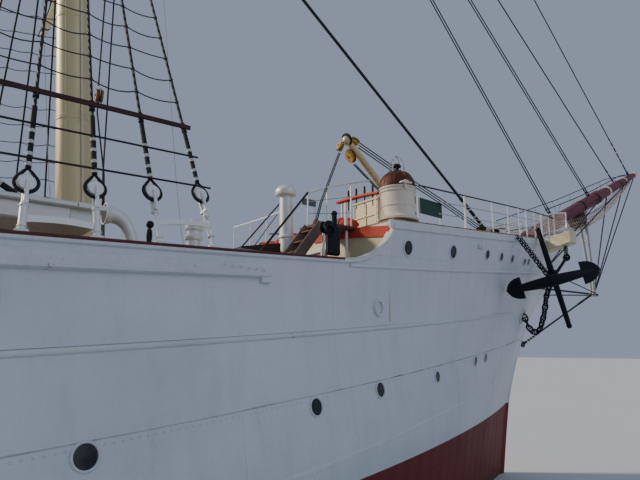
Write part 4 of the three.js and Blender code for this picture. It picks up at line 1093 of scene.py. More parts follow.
@dataclass
class Topsides(Assembly):
    """The white sides with their mouldings, round windows, fairleads and hawse holes."""

    ports: tuple[tuple[float, float, float], ...] = (
        (20.61, 3.08, 0.145), (24.52, 3.32, 0.14), (26.51, 3.49, 0.14), (29.1, 3.64, 0.125),
        (31.66, 3.97, 0.12),
        (32.52, 4.05, 0.12), (27.72, 6.58, 0.165), (29.79, 6.77, 0.165), (31.8, 6.97, 0.13),
        (32.8, 7.04, 0.125),
        (33.68, 7.1, 0.12), (34.8, 7.15, 0.11), (35.19, 7.2, 0.11))

    def build(self) -> None:
        """Lofts the sides and adds what is fixed on them."""
        white, trim = self.of(HULL_WHITE), self.of(TRIM_WHITE)
        white.loft(hull_rings(stern_x, stem_x, paint_z, deck_z, 150, 14))
        half = np.linspace(0, np.pi, 8)
        bead = np.stack([np.cos(half), np.sin(half)], 1)
        marks = Assembly("marks")
        one_side = marks.of(TRIM_WHITE)
        x = np.linspace(-37.5, 34.75, 150)
        one_side.along_shell(x, rail_z(x) - 1.44, bead * 0.045)
        x = np.linspace(25.7, 38.3, 46)
        one_side.along_shell(x, rail_z(x) - 0.14, bead * 0.045)
        x = np.linspace(26.95, 39.1, 44)
        one_side.along_shell(
            x, castle_z(x) - 0.09, np.array([(0.09, -0.01), (0.09, 0.045), (-0.09, 0.045), (-0.092, -0.01)]))
        x = np.linspace(-22.3, 23.55, 110)
        one_side.along_shell(x, rail_z(x) - 0.32, np.array([
            (0.11, -0.01), (0.11, 0.03), (0.04, 0.05), (-0.02, 0.08), (-0.07, 0.112), (-0.11, 0.105),
            (-0.13, 0.06),
            (-0.135, -0.01)]))
        end = skin(23.5, float(rail_z(23.5)) - 0.47)
        one_side.box(end - PORT * 0.03, (0.22, 0.1, 0.14))
        dots = skin(np.linspace(22.6, 23.4, 6), rail_z(23) - 0.3, 0.11)
        for dot in dots:
            one_side.ball(dot, 0.022, 8)
        aft = [(x, float(rail_z(x)) - 2.65, 0.125) for x in np.arange(16.8, -33, -3.9)]
        for x, z, r in (*self.ports, *aft):
            marks.port(skin(x, z), shell_normal(x, z), r)
        for x in (31.2, 31.38):
            one_side.box(skin(x, 7.12, 0.02), (0.1, 0.09, 0.14), edge=0.02)
        for x, z, r in ((26.65, 5.15, 0.13), (36.19, 5.47, 0.2), (-20.5, 4.6, 0.13), (8.0, 4.45, 0.13)):
            marks.fairlead(skin(x, z), shell_normal(x, z), r)
        self.on_both_sides(marks)
        trim.tube(spots(stem_x(np.linspace(1.8, 8.6, 40)), 0, np.linspace(1.8, 8.6, 40)), 0.1, 12)


@dataclass
class Bulwarks(Assembly):
    """The plated bulwarks with stays inside them and a brown cap rail, swept up to the forecastle."""

    thick: float = 0.12
    cap: float = 0.1
    stay_every: float = 1.25

    def build(self) -> None:
        """Lofts the port side along x and mirrors it."""
        aft, start = POOP_X + 0.003, BREAK_X - SWEEP
        x = np.concatenate([np.linspace(aft, start, 100), start + (SWEEP - 0.003) * np.sin(
            np.linspace(0, np.pi / 2, 16)[1:])])
        high = rail_z(x) + break_rise(x)
        low, under = deck_z(x) + 0.009, high - self.cap
        t = np.linspace(0, 1, 8)[:, None]
        z = (low + (under - low) * t).T
        y = half_breadth(x[:, None], z)
        outer = spots(x[:, None], y, z)
        inner = (outer - PORT * self.thick)[:, ::-1]
        plating = Form().loft(np.concatenate([outer, inner], 1))
        top = half_breadth(x, high)
        moulding = Form().ribbon(x, top, high, [
            (-0.21, -0.1), (0.035, -0.1), (0.055, -0.085), (0.055, -0.045), (-0.21, -0.045)])
        level = x <= start
        rail = Form().ribbon(x[level], top[level], high[level], [
            (-0.22, -0.045), (0.06, -0.045), (0.07, -0.032), (0.07, -0.013), (0.055, 0), (-0.21, 0),
            (-0.22, -0.013)])
        moulding.ribbon(x[~level], top[~level], high[~level], [
            (-0.17, -0.047), (0.03, -0.047), (0.04, -0.02), (0.02, 0), (-0.16, 0)])
        stays = Form()
        for place in np.arange(aft + 0.8, start - 0.4, self.stay_every):
            foot, head = float(deck_top(place)), float(rail_z(place)) - self.cap
            y_out = float(half_breadth(place, head)) - self.thick
            stays.plate([(0, head - 0.02), (-0.62, foot), (-0.05, foot), (0, foot + 0.3)],
                        (place, y_out, 0), PORT, UP, 0.035)
        for finish, form in ((HULL_WHITE, plating), (TRIM_WHITE, moulding), (RAIL_BROWN, rail),
                             (FITTING_WHITE, stays)):
            self.of(finish).join(form.both())


@dataclass
class Castle(Assembly):
    """The forecastle's shell with its catheads and break bulkhead."""

    cathead: tuple[float, float, float, float] = (36.85, 0.46, 0.44, 0.19)

    def build(self) -> None:
        """Lofts the shell, then the two cream beams and the bulkhead, whose cream is painted sunlight on
        white paint, the red beam over the break, and the doors aft.
        """
        self.of(HULL_WHITE).loft(hull_rings(always(BREAK_X), stem_x, deck_z, castle_z, 80, 12))
        x, wide, deep, rise = self.cathead
        y = np.array([1.4, 2.0, 2.35, 2.7, 3.03, 3.05])
        top = float(castle_z(x - wide / 2)) + rise * np.maximum(y - 2, 0)
        cut = 0.03
        ring = [(-wide / 2 + cut, -deep), (wide / 2 - cut, -deep), (wide / 2, -deep + cut), (wide / 2, -cut),
                (wide / 2 - cut, 0), (-wide / 2 + cut, 0), (-wide / 2, -cut), (-wide / 2, -deep + cut)]
        beam = Form().loft(np.array([[(x + a, -place, z + b) for a, b in ring] for place, z in zip(y, top)]))
        for place in (2.5, 2.85):
            z = float(castle_z(x - wide / 2)) + rise * (place - 2)
            beam.box((x, -place, z + 0.02), (0.3, 0.07, 0.06))
        # The catheads' cream is painted sunlight on their white paint.
        self.of(SUNLIT_CREAM).join(beam.both())
        foot = float(deck_top(BREAK_X))
        # The break bulkhead's cream is painted sunlight on white paint.
        self.of(SUNLIT_CREAM).plate([(-3.85, foot), (3.85, foot), (3.85, 7.05), (-3.85, 7.05)],
                             (BREAK_X - 0.012, 0, 0),
                             PORT, UP, 0.02)
        for y_place in (-1.1, 1.1):
            self.door(np.array([BREAK_X - 0.06, y_place, foot]), -FORWARD)
        across = np.linspace(-3.92, -1.1, 15)
        arch = 7.32 - 0.021 * across ** 2
        face = np.array([(0.04, -0.25), (0.04, 0), (-0.06, 0), (-0.06, -0.25)])
        self.of(RED_LEAD).loft(spots(BREAK_X, across, arch)[:, None] + np.insert(face, 1, 0, axis=1))


@dataclass
class Poop(Assembly):
    """The poop's shell with its break bulkhead, windows and rail."""

    def build(self) -> None:
        """Lofts the shell and sets doors and windows on its fore face."""
        self.of(HULL_WHITE).loft(hull_rings(stern_x, always(POOP_X), deck_z, poop_z, 90, 10))
        foot = float(deck_top(POOP_X))
        for y in (-3.1, 3.1):
            self.door(np.array([POOP_X + 0.04, y, foot]), FORWARD)
        for y in (-4.4, -1.9, 1.9, 4.4):
            self.window(np.array([POOP_X + 0.02, y, foot + 1.5]), FORWARD, 0.5, 0.4)
        x = np.linspace(POOP_X + 0.02, -41.2, 26)
        z = poop_z(x)
        side = Form()
        band = np.array([(0.09, -0.01), (0.09, 0.03), (-0.06, 0.035), (-0.08, -0.01)])
        side.along_shell(x[::-1], (z - 0.11)[::-1], band)
        self.of(TRIM_WHITE).join(side.both())
        y = half_breadth(x, z) - 0.22
        # Known fault: the starboard feet take the port feet's heights in the same order, not turned round.
        feet = spots(np.concatenate([x, x[::-1]]), np.concatenate([y, -y[::-1]]), np.tile(poop_top(x), 2))
        self.railing(feet, (0.45, 0.75, 1.05), FITTING_WHITE)
        marks = Assembly("marks")
        for place in np.arange(-24.5, -38, -2.2):
            z_place = float(rail_z(place)) - 0.45
            marks.port(skin(place, z_place), shell_normal(place, z_place), 0.13)
        self.on_both_sides(marks)


@dataclass
class Decks(Assembly):
    """The three planked decks, the main hatch, the store house and the steering gear box."""

    def build(self) -> None:
        """Lofts each deck's planks and sets what is fixed on them."""
        planks = self.of(DECK)
        for aft, fore, top in ((always(-22.657), always(27.257), deck_z), (always(27.1), stem_x, castle_z),
                               (stern_x, always(POOP_X), poop_z)):
            planks.loft(hull_rings(aft, fore, raised(top, 0.009), raised(top, PLANK), 90, 1, INSET))
        self.hatch()
        self.store()
        self.gear_box()

    def hatch(self) -> None:
        """The main hatch: a steel coaming, boards, canvas cover, battens and cleats."""
        top = float(deck_z(4.6)) + 0.75
        foot = float(deck_top(4.6)) - 0.03
        self.of(FITTING_WHITE).box((4.6, 0, (top + foot) / 2 - 0.04), (4.5, 3.5, top - foot - 0.06),
                                   edge=0.05)
        self.of(COVER).box((4.6, 0, top - 0.06), (4.56, 3.56, 0.12), edge=0.04)
        for x in np.linspace(2.7, 6.5, 5):
            self.of(BATTEN).box((x, 0, top - 0.012), (0.14, 3.5, 0.03))
        for y in (-1.78, 1.78):
            self.of(BATTEN).box((4.6, y, top - 0.17), (4.4, 0.04, 0.07))
            self.of(IRON).box([(x, y, top - 0.22) for x in np.linspace(2.8, 6.4, 8)], (0.08, 0.04, 0.14))

    def store(self) -> None:
        """The store house ahead of the foremast, with its mushroom ventilator."""
        foot = float(deck_top(25.2)) - 0.05
        self.of(FITTING_WHITE).box((25.4, 0, (foot + 6.4) / 2), (2.36, 4.16, 6.4 - foot), edge=0.04)
        self.of(ROOF_GREY).box((25.4, 0, 6.41), (2.4, 4.2, 0.08), edge=0.025)
        self.door(np.array([24.2, 0, foot + 0.03]), -FORWARD)
        for y in (-1.3, 1.3):
            self.port(np.array([24.21, y, foot + 1.4]), -FORWARD, 0.15)
        self.of(FITTING_WHITE).turned([
            (0.25, -0.03), (0.25, 0.03), (0.19, 0.05), (0.18, 0.5), (0.21, 0.52), (0.21, 0.56), (0.175, 0.58),
            (0.155, 1.54), (0.18, 1.58), (0.25, 1.6), (0.262, 1.62), (0.262, 1.72), (0.25, 1.75),
            (0.19, 1.82),
            (0.1, 1.86), (0, 1.87)], (25.93, -1.5, 6.45), (-0.037, 0, 1), sides=32)
        self.of(BATTEN).plate([(24.5, 6.44), (25.55, 6.44), (25.55, 6.76), (24.5, 6.56)], (0, -0.6, 0),
                              FORWARD, UP, 2.4)

    def gear_box(self) -> None:
        """The steering gear's case behind the wheel."""
        foot, top = float(poop_top(-37.4)) - 0.03, float(poop_top(-36.5)) + 1.35
        self.of(TEAK).box((-37.373, 0, (foot + top) / 2), (1.46, 1.06, top - foot), edge=0.06)
        self.of(TEAK).box((-37.373, 0, top - 0.04), (1.5, 1.1, 0.08), edge=0.03)
        self.of(BRONZE).bar((-36.63, 0, top - 0.2), (-36.55, 0, top - 0.2), 0.09, sides=20)
        for y in (-0.54, 0.54):
            self.of(TEAK).box((-37.373, y, (foot + top) / 2), (1.1, 0.03, top - foot - 0.4))


# The rig
@dataclass(frozen=True)
class Mast:
    """A mast: "s" is the distance up from the deck and "out" the distance ahead of its centre."""

    name: str
    x: float
    rake: float
    radius: float
    top: float
    cross: float
    truck: float
    scale: float

    def at(self, s: Number, out: Number = 0.0, y: Number = 0.0) -> Array:
        """Points on the mast."""
        a = math.radians(self.rake)
        s, out = np.asarray(s, float), np.asarray(out, float)
        return spots(self.x - math.sin(a) * s + math.cos(a) * out, y,
                     float(deck_top(self.x)) + math.cos(a) * s + math.sin(a) * out)

    def thick(self, s: Number) -> Array:
        """Radius of the lower mast and topmast, a single tapered tube."""
        return self.radius * (1 - 0.36 * np.asarray(s, float) / (self.cross + 2))

    def pole(self, s: Number) -> Array:
        """Radius of the topgallant and royal mast."""
        low = self.cross - 1.3
        return 0.19 + (0.07 - 0.19) * (np.asarray(s, float) - low) / (self.truck - low)

    def axes(self) -> Array:
        """Ahead, to port and up along the mast."""
        ahead, up = self.at(0, 1) - self.at(0), self.at(1) - self.at(0)
        return np.array([ahead, PORT, up])


@dataclass(frozen=True)
class Yard:
    """A yard: height above the top or the crosstrees, radius, half length and distance ahead."""

    name: str
    from_top: bool
    lift: float
    radius: float
    half: float
    out: float
    truss: bool

    def height(self, mast: Mast) -> float:
        """Distance up the mast."""
        return (mast.top if self.from_top else mast.cross) + self.lift


MASTS = (Mast("fore", 21.57, 5.1, 0.375, 15.9, 29.8, 37.8, 0.97),
         Mast("main", -0.6, 4.5, 0.37, 16.2, 30.4, 38.6, 1.0),
         Mast("mizzen", -21.2, 5.5, 0.33, 14.6, 26.4, 34.2, 0.79))
FORE, MAIN, MIZZEN = MASTS
YARDS = (Yard("course", True, -2.3, 0.28, 12.8, 1.5, True),
         Yard("lower_topsail", True, 1.7, 0.25, 11.4, 1.5, True),
         Yard("upper_topsail", True, 3.6, 0.23, 10.4, 0.72, False),
         Yard("topgallant", False, 2.4, 0.19, 8.3, 1.0, False),
         Yard("royal", False, 5.2, 0.15, 6.4, 0.9, False))
PIVOT_OUT = 0.62


@dataclass
class MastWork(Assembly):
    """One mast: tube with bands, seams and a track, coat, top, crosstrees, caps and pole."""

    mast: Mast = FORE

    def build(self) -> None:
        """Turns the tubes and sets the tops, caps and pivots on them."""
        m, buff = self.mast, self.of(BUFF)
        axes = m.axes()
        s = np.linspace(0.15, m.cross + 2, 40)
        buff.tube(m.at(s), m.thick(s), 40)
        pole = np.linspace(m.cross - 1.3, m.truck, 24)
        buff.tube(m.at(pole, 0.46), m.pole(pole), 24)
        buff.ball(m.at(m.truck - 0.13, 0.46), 0.11)
        width = 0.05
        for at in np.arange(2.4, m.cross, 2.45):
            r = float(m.thick(at))
            buff.tube(m.at(np.array([at - width, at - width * 0.7, at + width * 0.7, at + width])),
                      [r, r + 0.012, r + 0.012, r], 40, cap=False)
        for turn in (-2.2, -0.4, 1.6):
            r = m.thick(s)[1:-1]
            line = m.at(s[1:-1], np.cos(turn) * (r + 0.004), np.sin(turn) * (r + 0.004))
            buff.tube(line, 0.018, 6)
        track = s[(s > 2.0) & (s < m.top - 1.0)]
        r = m.thick(track) + 0.03
        self.of(CREAM_WHITE).tube(m.at(track, r * 0.275, -r * 0.961), 0.026, 8)
        foot = float(deck_z(m.x)) + 0.1
        base = np.array([m.x, 0, foot])
        self.of(TRIM_WHITE).turned([
            (m.radius + 0.12, 0.05), (m.radius + 0.12, 0.12), (m.radius + 0.07, 0.2),
            (m.radius + 0.035, 0.37),
            (m.radius - 0.05, 0.4)], base - UP * 0.02, sides=40)
        self.platform(axes)
        self.pivots(axes)
        self.fife(base)

    def platform(self, axes: Array) -> None:
        """The top with its rim, trestles and back rail, then the crosstrees and caps."""
        m, buff, iron = self.mast, self.of(BUFF), self.of(IRON)
        arc = np.linspace(-np.pi / 2, np.pi / 2, 17)
        outline = np.concatenate([[(-1.0, 1.75), (-1.0, -1.75)], np.stack([
            0.1 + 0.75 * np.cos(arc), 1.75 * np.sin(arc)], 1)])
        buff.plate(outline, m.at(m.top + 0.05), axes[0], PORT, 0.1)
        edge = m.at(m.top + 0.1, outline[:, 0], outline[:, 1])
        buff.tube(edge, 0.045, 8, loop=True)
        for y in (-0.42, 0.42):
            buff.box(m.at(m.top - 0.12, -0.1, y), (1.6, 0.14, 0.22), axes)
        for out in (-0.85, 0.62):
            buff.box(m.at(m.top - 0.02, out, 0), (0.1, 2.9, 0.1), axes)
        for low in (m.cross - 1.15, m.cross, m.cross + 1.7):
            buff.box(m.at(low, 0.25), (1.15, 0.62, 0.16), axes, 0.05)
            self.of(IRON).hoop(m.at(low, 0.46), axes[2], 0.22, 0.03)
        for out in (-0.42, 0.78):
            buff.box(m.at(m.cross, out), (0.16, 2.3, 0.12), axes, 0.03)
        for y in (-0.28, 0.28):
            buff.box(m.at(m.cross, 0.18, y), (1.4, 0.14, 0.14), axes, 0.03)
        for y in (-1.5, -0.9, 0.9, 1.5):
            iron.bar(m.at(m.top + 0.1, -0.95, y), m.at(m.top + 1.05, -0.95, y), 0.022)
        iron.tube(m.at(m.top + 1.05, -0.95, np.linspace(-1.6, 1.6, 5)), 0.022, 6)

    def pivots(self, axes: Array) -> None:
        """The pins that the trusses and goosenecks turn on, each on its arm from a band."""
        m = self.mast
        places = [(y.height(m), PIVOT_OUT) for y in YARDS if y.truss]
        if m is MIZZEN:
            places += [(5.6, -PIVOT_OUT), (11.6, -PIVOT_OUT)]
        for s, out in places:
            self.of(BUFF).bar(m.at(s), m.at(s, out), 0.13, 0.1, 16)
            self.of(IRON).drum(m.at(s, out), axes[2], 0.14, -0.14, 0.14)
            r = float(m.thick(s))
            self.of(IRON).band(m.at(s), axes[2], r - 0.02, r + 0.035, 0.16, 40)

    def fife(self, base: Array) -> None:
        """A rack of belaying pins round the mast, on turned posts, with coiled ropes."""
        spread = 1.15
        if self.mast is MIZZEN:
            return
        corners = np.array([(-0.9, -spread), (0.9, -spread), (0.9, spread), (-0.9, spread)])
        for a, b in corners:
            self.of(TEAK).turned([(0.07, 0), (0.09, 0.1), (0.055, 0.3), (0.07, 0.6), (0.055, 0.8),
                                  (0.09, 0.95),
                                  (0, 1.0)], base + [a, b, -0.02], sides=14)
        for b in (-spread, spread):
            rail = base + [0, b, 0.9]
            self.of(TEAK).box(rail, (2.1, 0.2, 0.07))
            for a in np.linspace(-0.7, 0.7, 7):
                pin = rail + [a, 0, 0]
                self.of(BRONZE).turned([(0.014, -0.3), (0.014, 0.03), (0.028, 0.05), (0.03, 0.2), (0, 0.24)],
                                       pin,
                                       sides=8)
                self.of(HEMP).hoop(pin - UP * 0.14, (0.3, 1, 0.1), 0.12, 0.03, 14, 5)


@dataclass
class YardWork(Assembly):
    """One yard on its own body, with truss or collar, bands, jackstay, lifts and footropes."""

    mast: Mast = FORE
    yard: Yard = YARDS[0]

    def build(self) -> None:
        """Turns the spar and hangs its ironwork and ropes on it."""
        m, y = self.mast, self.yard
        s = y.height(m)
        half = y.half * m.scale
        r = y.radius * (0.85 if m is MIZZEN else 1)
        axes = m.axes()
        centre = m.at(s, y.out)
        along = np.linspace(-1, 1, 41)
        away = np.clip((np.abs(along) - 0.3) / 0.7, 0, 1)
        thick = r * (1 - 0.55 * away ** 1.25)
        path = centre + PORT * (along * half)[:, None]
        self.of(BUFF).tube(path, thick, 20)

        def radius_at(place: float) -> float:
            """The spar's radius at a distance from its middle."""
            return float(np.interp(abs(place) / half, along[20:], thick[20:]))

        for place in np.concatenate([-np.array([0.94, 0.72, 0.5, 0.28, 0.1]),
                                     [0.1, 0.28, 0.5, 0.72, 0.94]]) * half:
            own = radius_at(place)
            self.of(IRON).band(centre + PORT * place, PORT, own - 0.01, own + 0.016, 0.05)
        for way in (-1, 1):
            tip = centre + PORT * way * half * 0.965
            self.of(COVER).drum(tip - PORT * way * 0.02 * half, PORT, r * 0.47 + 0.01, -0.3, 0.3, 16)
        self.jackstay(centre, half, radius_at, axes)
        self.ropes(centre, half, r, axes, s)
        self.sling(s, axes, centre, r)

    def jackstay(self, centre: Array, half: float, radius_at: Callable[[float], float], axes: Array) -> None:
        """A rod along the yard's top on short posts, where a sail would be bent."""
        run = np.linspace(-0.95, 0.95, 25) * half
        rise = np.array([radius_at(p) for p in run])
        line = centre + PORT * run[:, None] + axes[2] * (rise + 0.07)[:, None] + axes[0] * 0.05
        self.of(IRON).tube(line, 0.02, 6)
        self.of(IRON).bars(line, line - axes[2] * 0.09, 0.014, 5)

    def ropes(self, centre: Array, half: float, r: float, axes: Array, s: float) -> None:
        """Footropes in their stirrups under each arm, and on the courses lifts to the mast above."""
        wire = self.of(WIRE)
        for way in (-1, 1):
            stops = np.linspace(0.22, 0.92, 4) * half * way
            hang = centre + PORT * stops[:, None] - UP * 0.7 - axes[0] * (r + 0.04)
            wire.tube(sagging(hang[:-1], hang[1:], 0.14, 6), 0.022, 5, cap=False)
            top = centre + PORT * stops[:, None] - axes[0] * r * 0.6
            wire.bars(top, hang, 0.014, 4)
            wire.tube(sagging(hang[-1], centre + PORT * way * half * 0.985 - UP * 0.03, 0.05, 5), 0.022, 5)
            if self.yard.name == "course":
                head = self.mast.at(s + 3.2, PIVOT_OUT, 0.06 * way)
                arm = centre + PORT * way * half * 0.93 + UP * r * 0.4
                wire.bar(arm, head, 0.022, sides=5)

    def sling(self, s: float, axes: Array, centre: Array, r: float) -> None:
        """The truss arm with its fork, or the collar round the mast with its link."""
        m, y, iron = self.mast, self.yard, self.of(IRON)
        if y.truss:
            for low, high in ((-0.28, -0.1445), (0.1445, 0.28)):
                iron.turned([(0.05, low), (0.14, low), (0.14, high), (0.05, high)], m.at(s, PIVOT_OUT),
                            axes[2], 20)
                middle = (low + high) / 2
                iron.bar(m.at(s + middle, PIVOT_OUT + 0.08), m.at(s + middle * 0.7, y.out), 0.045, 0.06)
            iron.band(centre, PORT, r - 0.01, r + 0.025, 0.3, 24)
            return
        out = 0.0 if y.from_top else 0.46
        bore = float(m.thick(s - 0.16) if y.from_top else m.pole(s - 0.16)) + 0.0055
        iron.band(m.at(s, out), axes[2], bore, bore + 0.08, 0.15, 32)
        iron.bar(m.at(s, out + bore + 0.04), m.at(s, y.out), 0.09)


@dataclass
class Shrouds(Assembly):
    """Lower shrouds of one side: wire, served ends, thimbles, rigging screws, battens and ratlines."""

    mast: Mast = FORE
    side: int = -1
    batten: float = 2.17
    screws: tuple[float, float, float] = (0.04, 0.034, 0.05)

    def ends(self) -> tuple[Array, Array]:
        """Feet on the rail or poop and heads at the hounds, one row for each leg."""
        leg = np.arange(6)
        x = self.mast.x + 0.94 - leg * 0.915
        on_poop = x < POOP_X
        z = np.where(on_poop, poop_top(x), rail_z(x))
        y = (half_breadth(x, z) - np.where(on_poop, 0.3, 0.1)) * self.side
        top = self.mast.top
        reach = float(self.mast.thick(top)) + 0.05
        return spots(x, y, z + 0.025), self.mast.at(top - 0.3 - 0.2 * leg, 0, self.side * reach * np.ones(6))

    def build(self) -> None:
        """Sets each leg up from its foot and ties the legs together."""
        feet, heads = self.ends()
        run = unit(heads - feet)
        fore_aft = -unit(np.gradient(feet, axis=0))
        discs = np.maximum(0.91 - 0.085 * np.arange(6), 0.68)

        def at(rise: Number) -> Array:
            """The place on each leg at a height over its foot."""
            return feet + run * (np.broadcast_to(rise, 6)[:, None] / run[:, 2:])

        self.of(WIRE).bars(at(discs + 0.22), heads, 0.024, 8)
        self.of(SERVED).bars(at(discs + 0.22), at(discs + 1.22), 0.038, 10)
        for rise in (0.27, 0.43, 0.62, 0.8):
            self.of(CORD).bars(at(discs + rise - 0.026), at(discs + rise + 0.026), 0.043, 10)
        for i in range(6):
            self.end(i, at(discs)[i], at(discs - 0.3)[i], feet[i], run[i], fore_aft[i])
        self.bars_across(at)
        self.ratlines(at, heads, feet)

    def end(self, leg: int, disc: Array, fork: Array, foot: Array, run: Array, flat: Array) -> None:
        """One leg's thimble in its eye of wire, the fork under it and the screw down to the rail.

        Args:
            leg: Which leg it is; the first one's screw is open between two rods.
            disc: The thimble's centre.
            fork: The fork's lower end.
            foot: The screw's foot.
            run: Direction of the leg.
            flat: Direction of the eye's breadth.
        """
        outward = unit(np.cross(flat, run)) * self.side
        white = self.of(FITTING_WHITE)
        white.turned([(0, -0.045), (0.095, -0.045), (0.115, -0.03), (0.115, 0.03), (0.095, 0.045),
                      (0.04, 0.045),
                      (0.04, 0.07), (0, 0.075)], disc, outward, 24)
        lean = math.acos(0.145 / 0.235)
        turn = np.linspace(lean, 2 * np.pi - lean, 17)
        eye = disc + flat * (np.sin(turn) * 0.145)[:, None] + run * (np.cos(turn) * 0.145)[:, None]
        apex = disc + run * 0.235
        path = np.concatenate([between(apex, eye[0], [0, 0.5]), eye, between(eye[-1], apex, [0.5])])
        self.of(SERVED).tube(path, 0.024, 8, loop=True)
        for way in (-1, 1):
            white.bar(disc + outward * way * 0.06, fork + outward * way * 0.05, 0.028)
        white.bar(fork - outward * 0.08, fork + outward * 0.08, 0.032)
        thick = self.screws[min(leg, 2)]
        if leg == 0:
            low, high = between(foot, fork, 0.3), between(foot, fork, 0.86)
            for way in (-1, 1):
                white.bar(low + flat * way * 0.034, high + flat * way * 0.034, 0.019)
            white.bar(foot, low + run * 0.03, 0.03, sides=12)
            white.bar(high - run * 0.03, fork, 0.03, sides=12)
            white.hoop(low, run, thick, 0.018, 14)
            white.hoop(high, run, thick, 0.018, 14)
        else:
            white.bar(foot, fork, thick, sides=16)
            for share in (0.16, 0.9):
                white.hoop(between(foot, fork, share), run, thick, 0.014, 16)
        white.box(foot, (0.16, 0.1, 0.06))

    def bars_across(self, at: Callable[[Number], Array]) -> None:
        """The links between the screws, two iron bars and the brown sheer batten."""
        link = at(np.array([0.37, 0.32, 0.15, 0.17, 0.17, 0.17]))
        bar = np.array([(0, -0.018, -0.042), (0, -0.018, 0.042), (0, 0.018, 0.042), (0, 0.018, -0.042)])
        self.of(FITTING_WHITE).loft(sagging(link[::2], link[1::2], -0.03, 7)[..., None, :] + bar)
        off = PORT * self.side * 0.04
        for rise, ahead in ((1.05, 0.2), (1.6, 0.11)):
            row = at(rise) + off
            self.of(IRON).tube(np.concatenate([row[:1] + FORWARD * ahead, row, row[-1:] - FORWARD * 0.1]),
                               0.016, 8)
        row = at(self.batten) + off
        row = np.concatenate([row[:1] + FORWARD * 0.11, row, row[-1:] - FORWARD * 0.11])
        plank = np.array([(0, -0.02, -0.035), (0, -0.02, 0.035), (0, 0.02, 0.035), (0, 0.02, -0.035)])
        self.of(BATTEN).loft(row[:, None] + plank)
        self.of(SERVED).bars(at(self.batten - 0.1), at(self.batten + 0.06), 0.045, 8)

    def ratlines(self, at: Callable[[Number], Array], heads: Array, feet: Array) -> None:
        """Rope steps that sag between the legs, every 0.46 up to below the hounds."""
        top = float((heads - feet)[:, 2].min()) - 0.7
        rises = np.arange(self.batten + 0.5, top, 0.46)
        rows = np.stack([at(float(rise)) for rise in rises])
        gap = np.linalg.norm(rows[:, :-1] - rows[:, 1:], axis=-1)
        slack = 0.07 + 0.04 * np.sin(np.arange(len(rises))[:, None] * 2.3 + np.arange(5) * 1.7)
        self.of(HEMP).tube(sagging(rows[:, :-1], rows[:, 1:], gap * slack, 6), 0.011, 5, cap=False)
        knots = rows.reshape(-1, 3)
        self.of(HEMP).bars(knots - UP * 0.02, knots + UP * 0.02, 0.034, 6)


def on_bowsprit(distance: Number, drop: Number = 0.0) -> Array:
    """Points by the distance in from the bowsprit's tip and the drop square below its axis."""
    a = math.radians(24.3)
    distance, drop = np.asarray(distance, float), np.asarray(drop, float)
    return spots(50.5 - math.cos(a) * distance + math.sin(a) * drop, 0.0,
                 14.05 - math.sin(a) * distance - math.cos(a) * drop)


STRIKER_FOOT = np.array([44.2, 0, 6.8])


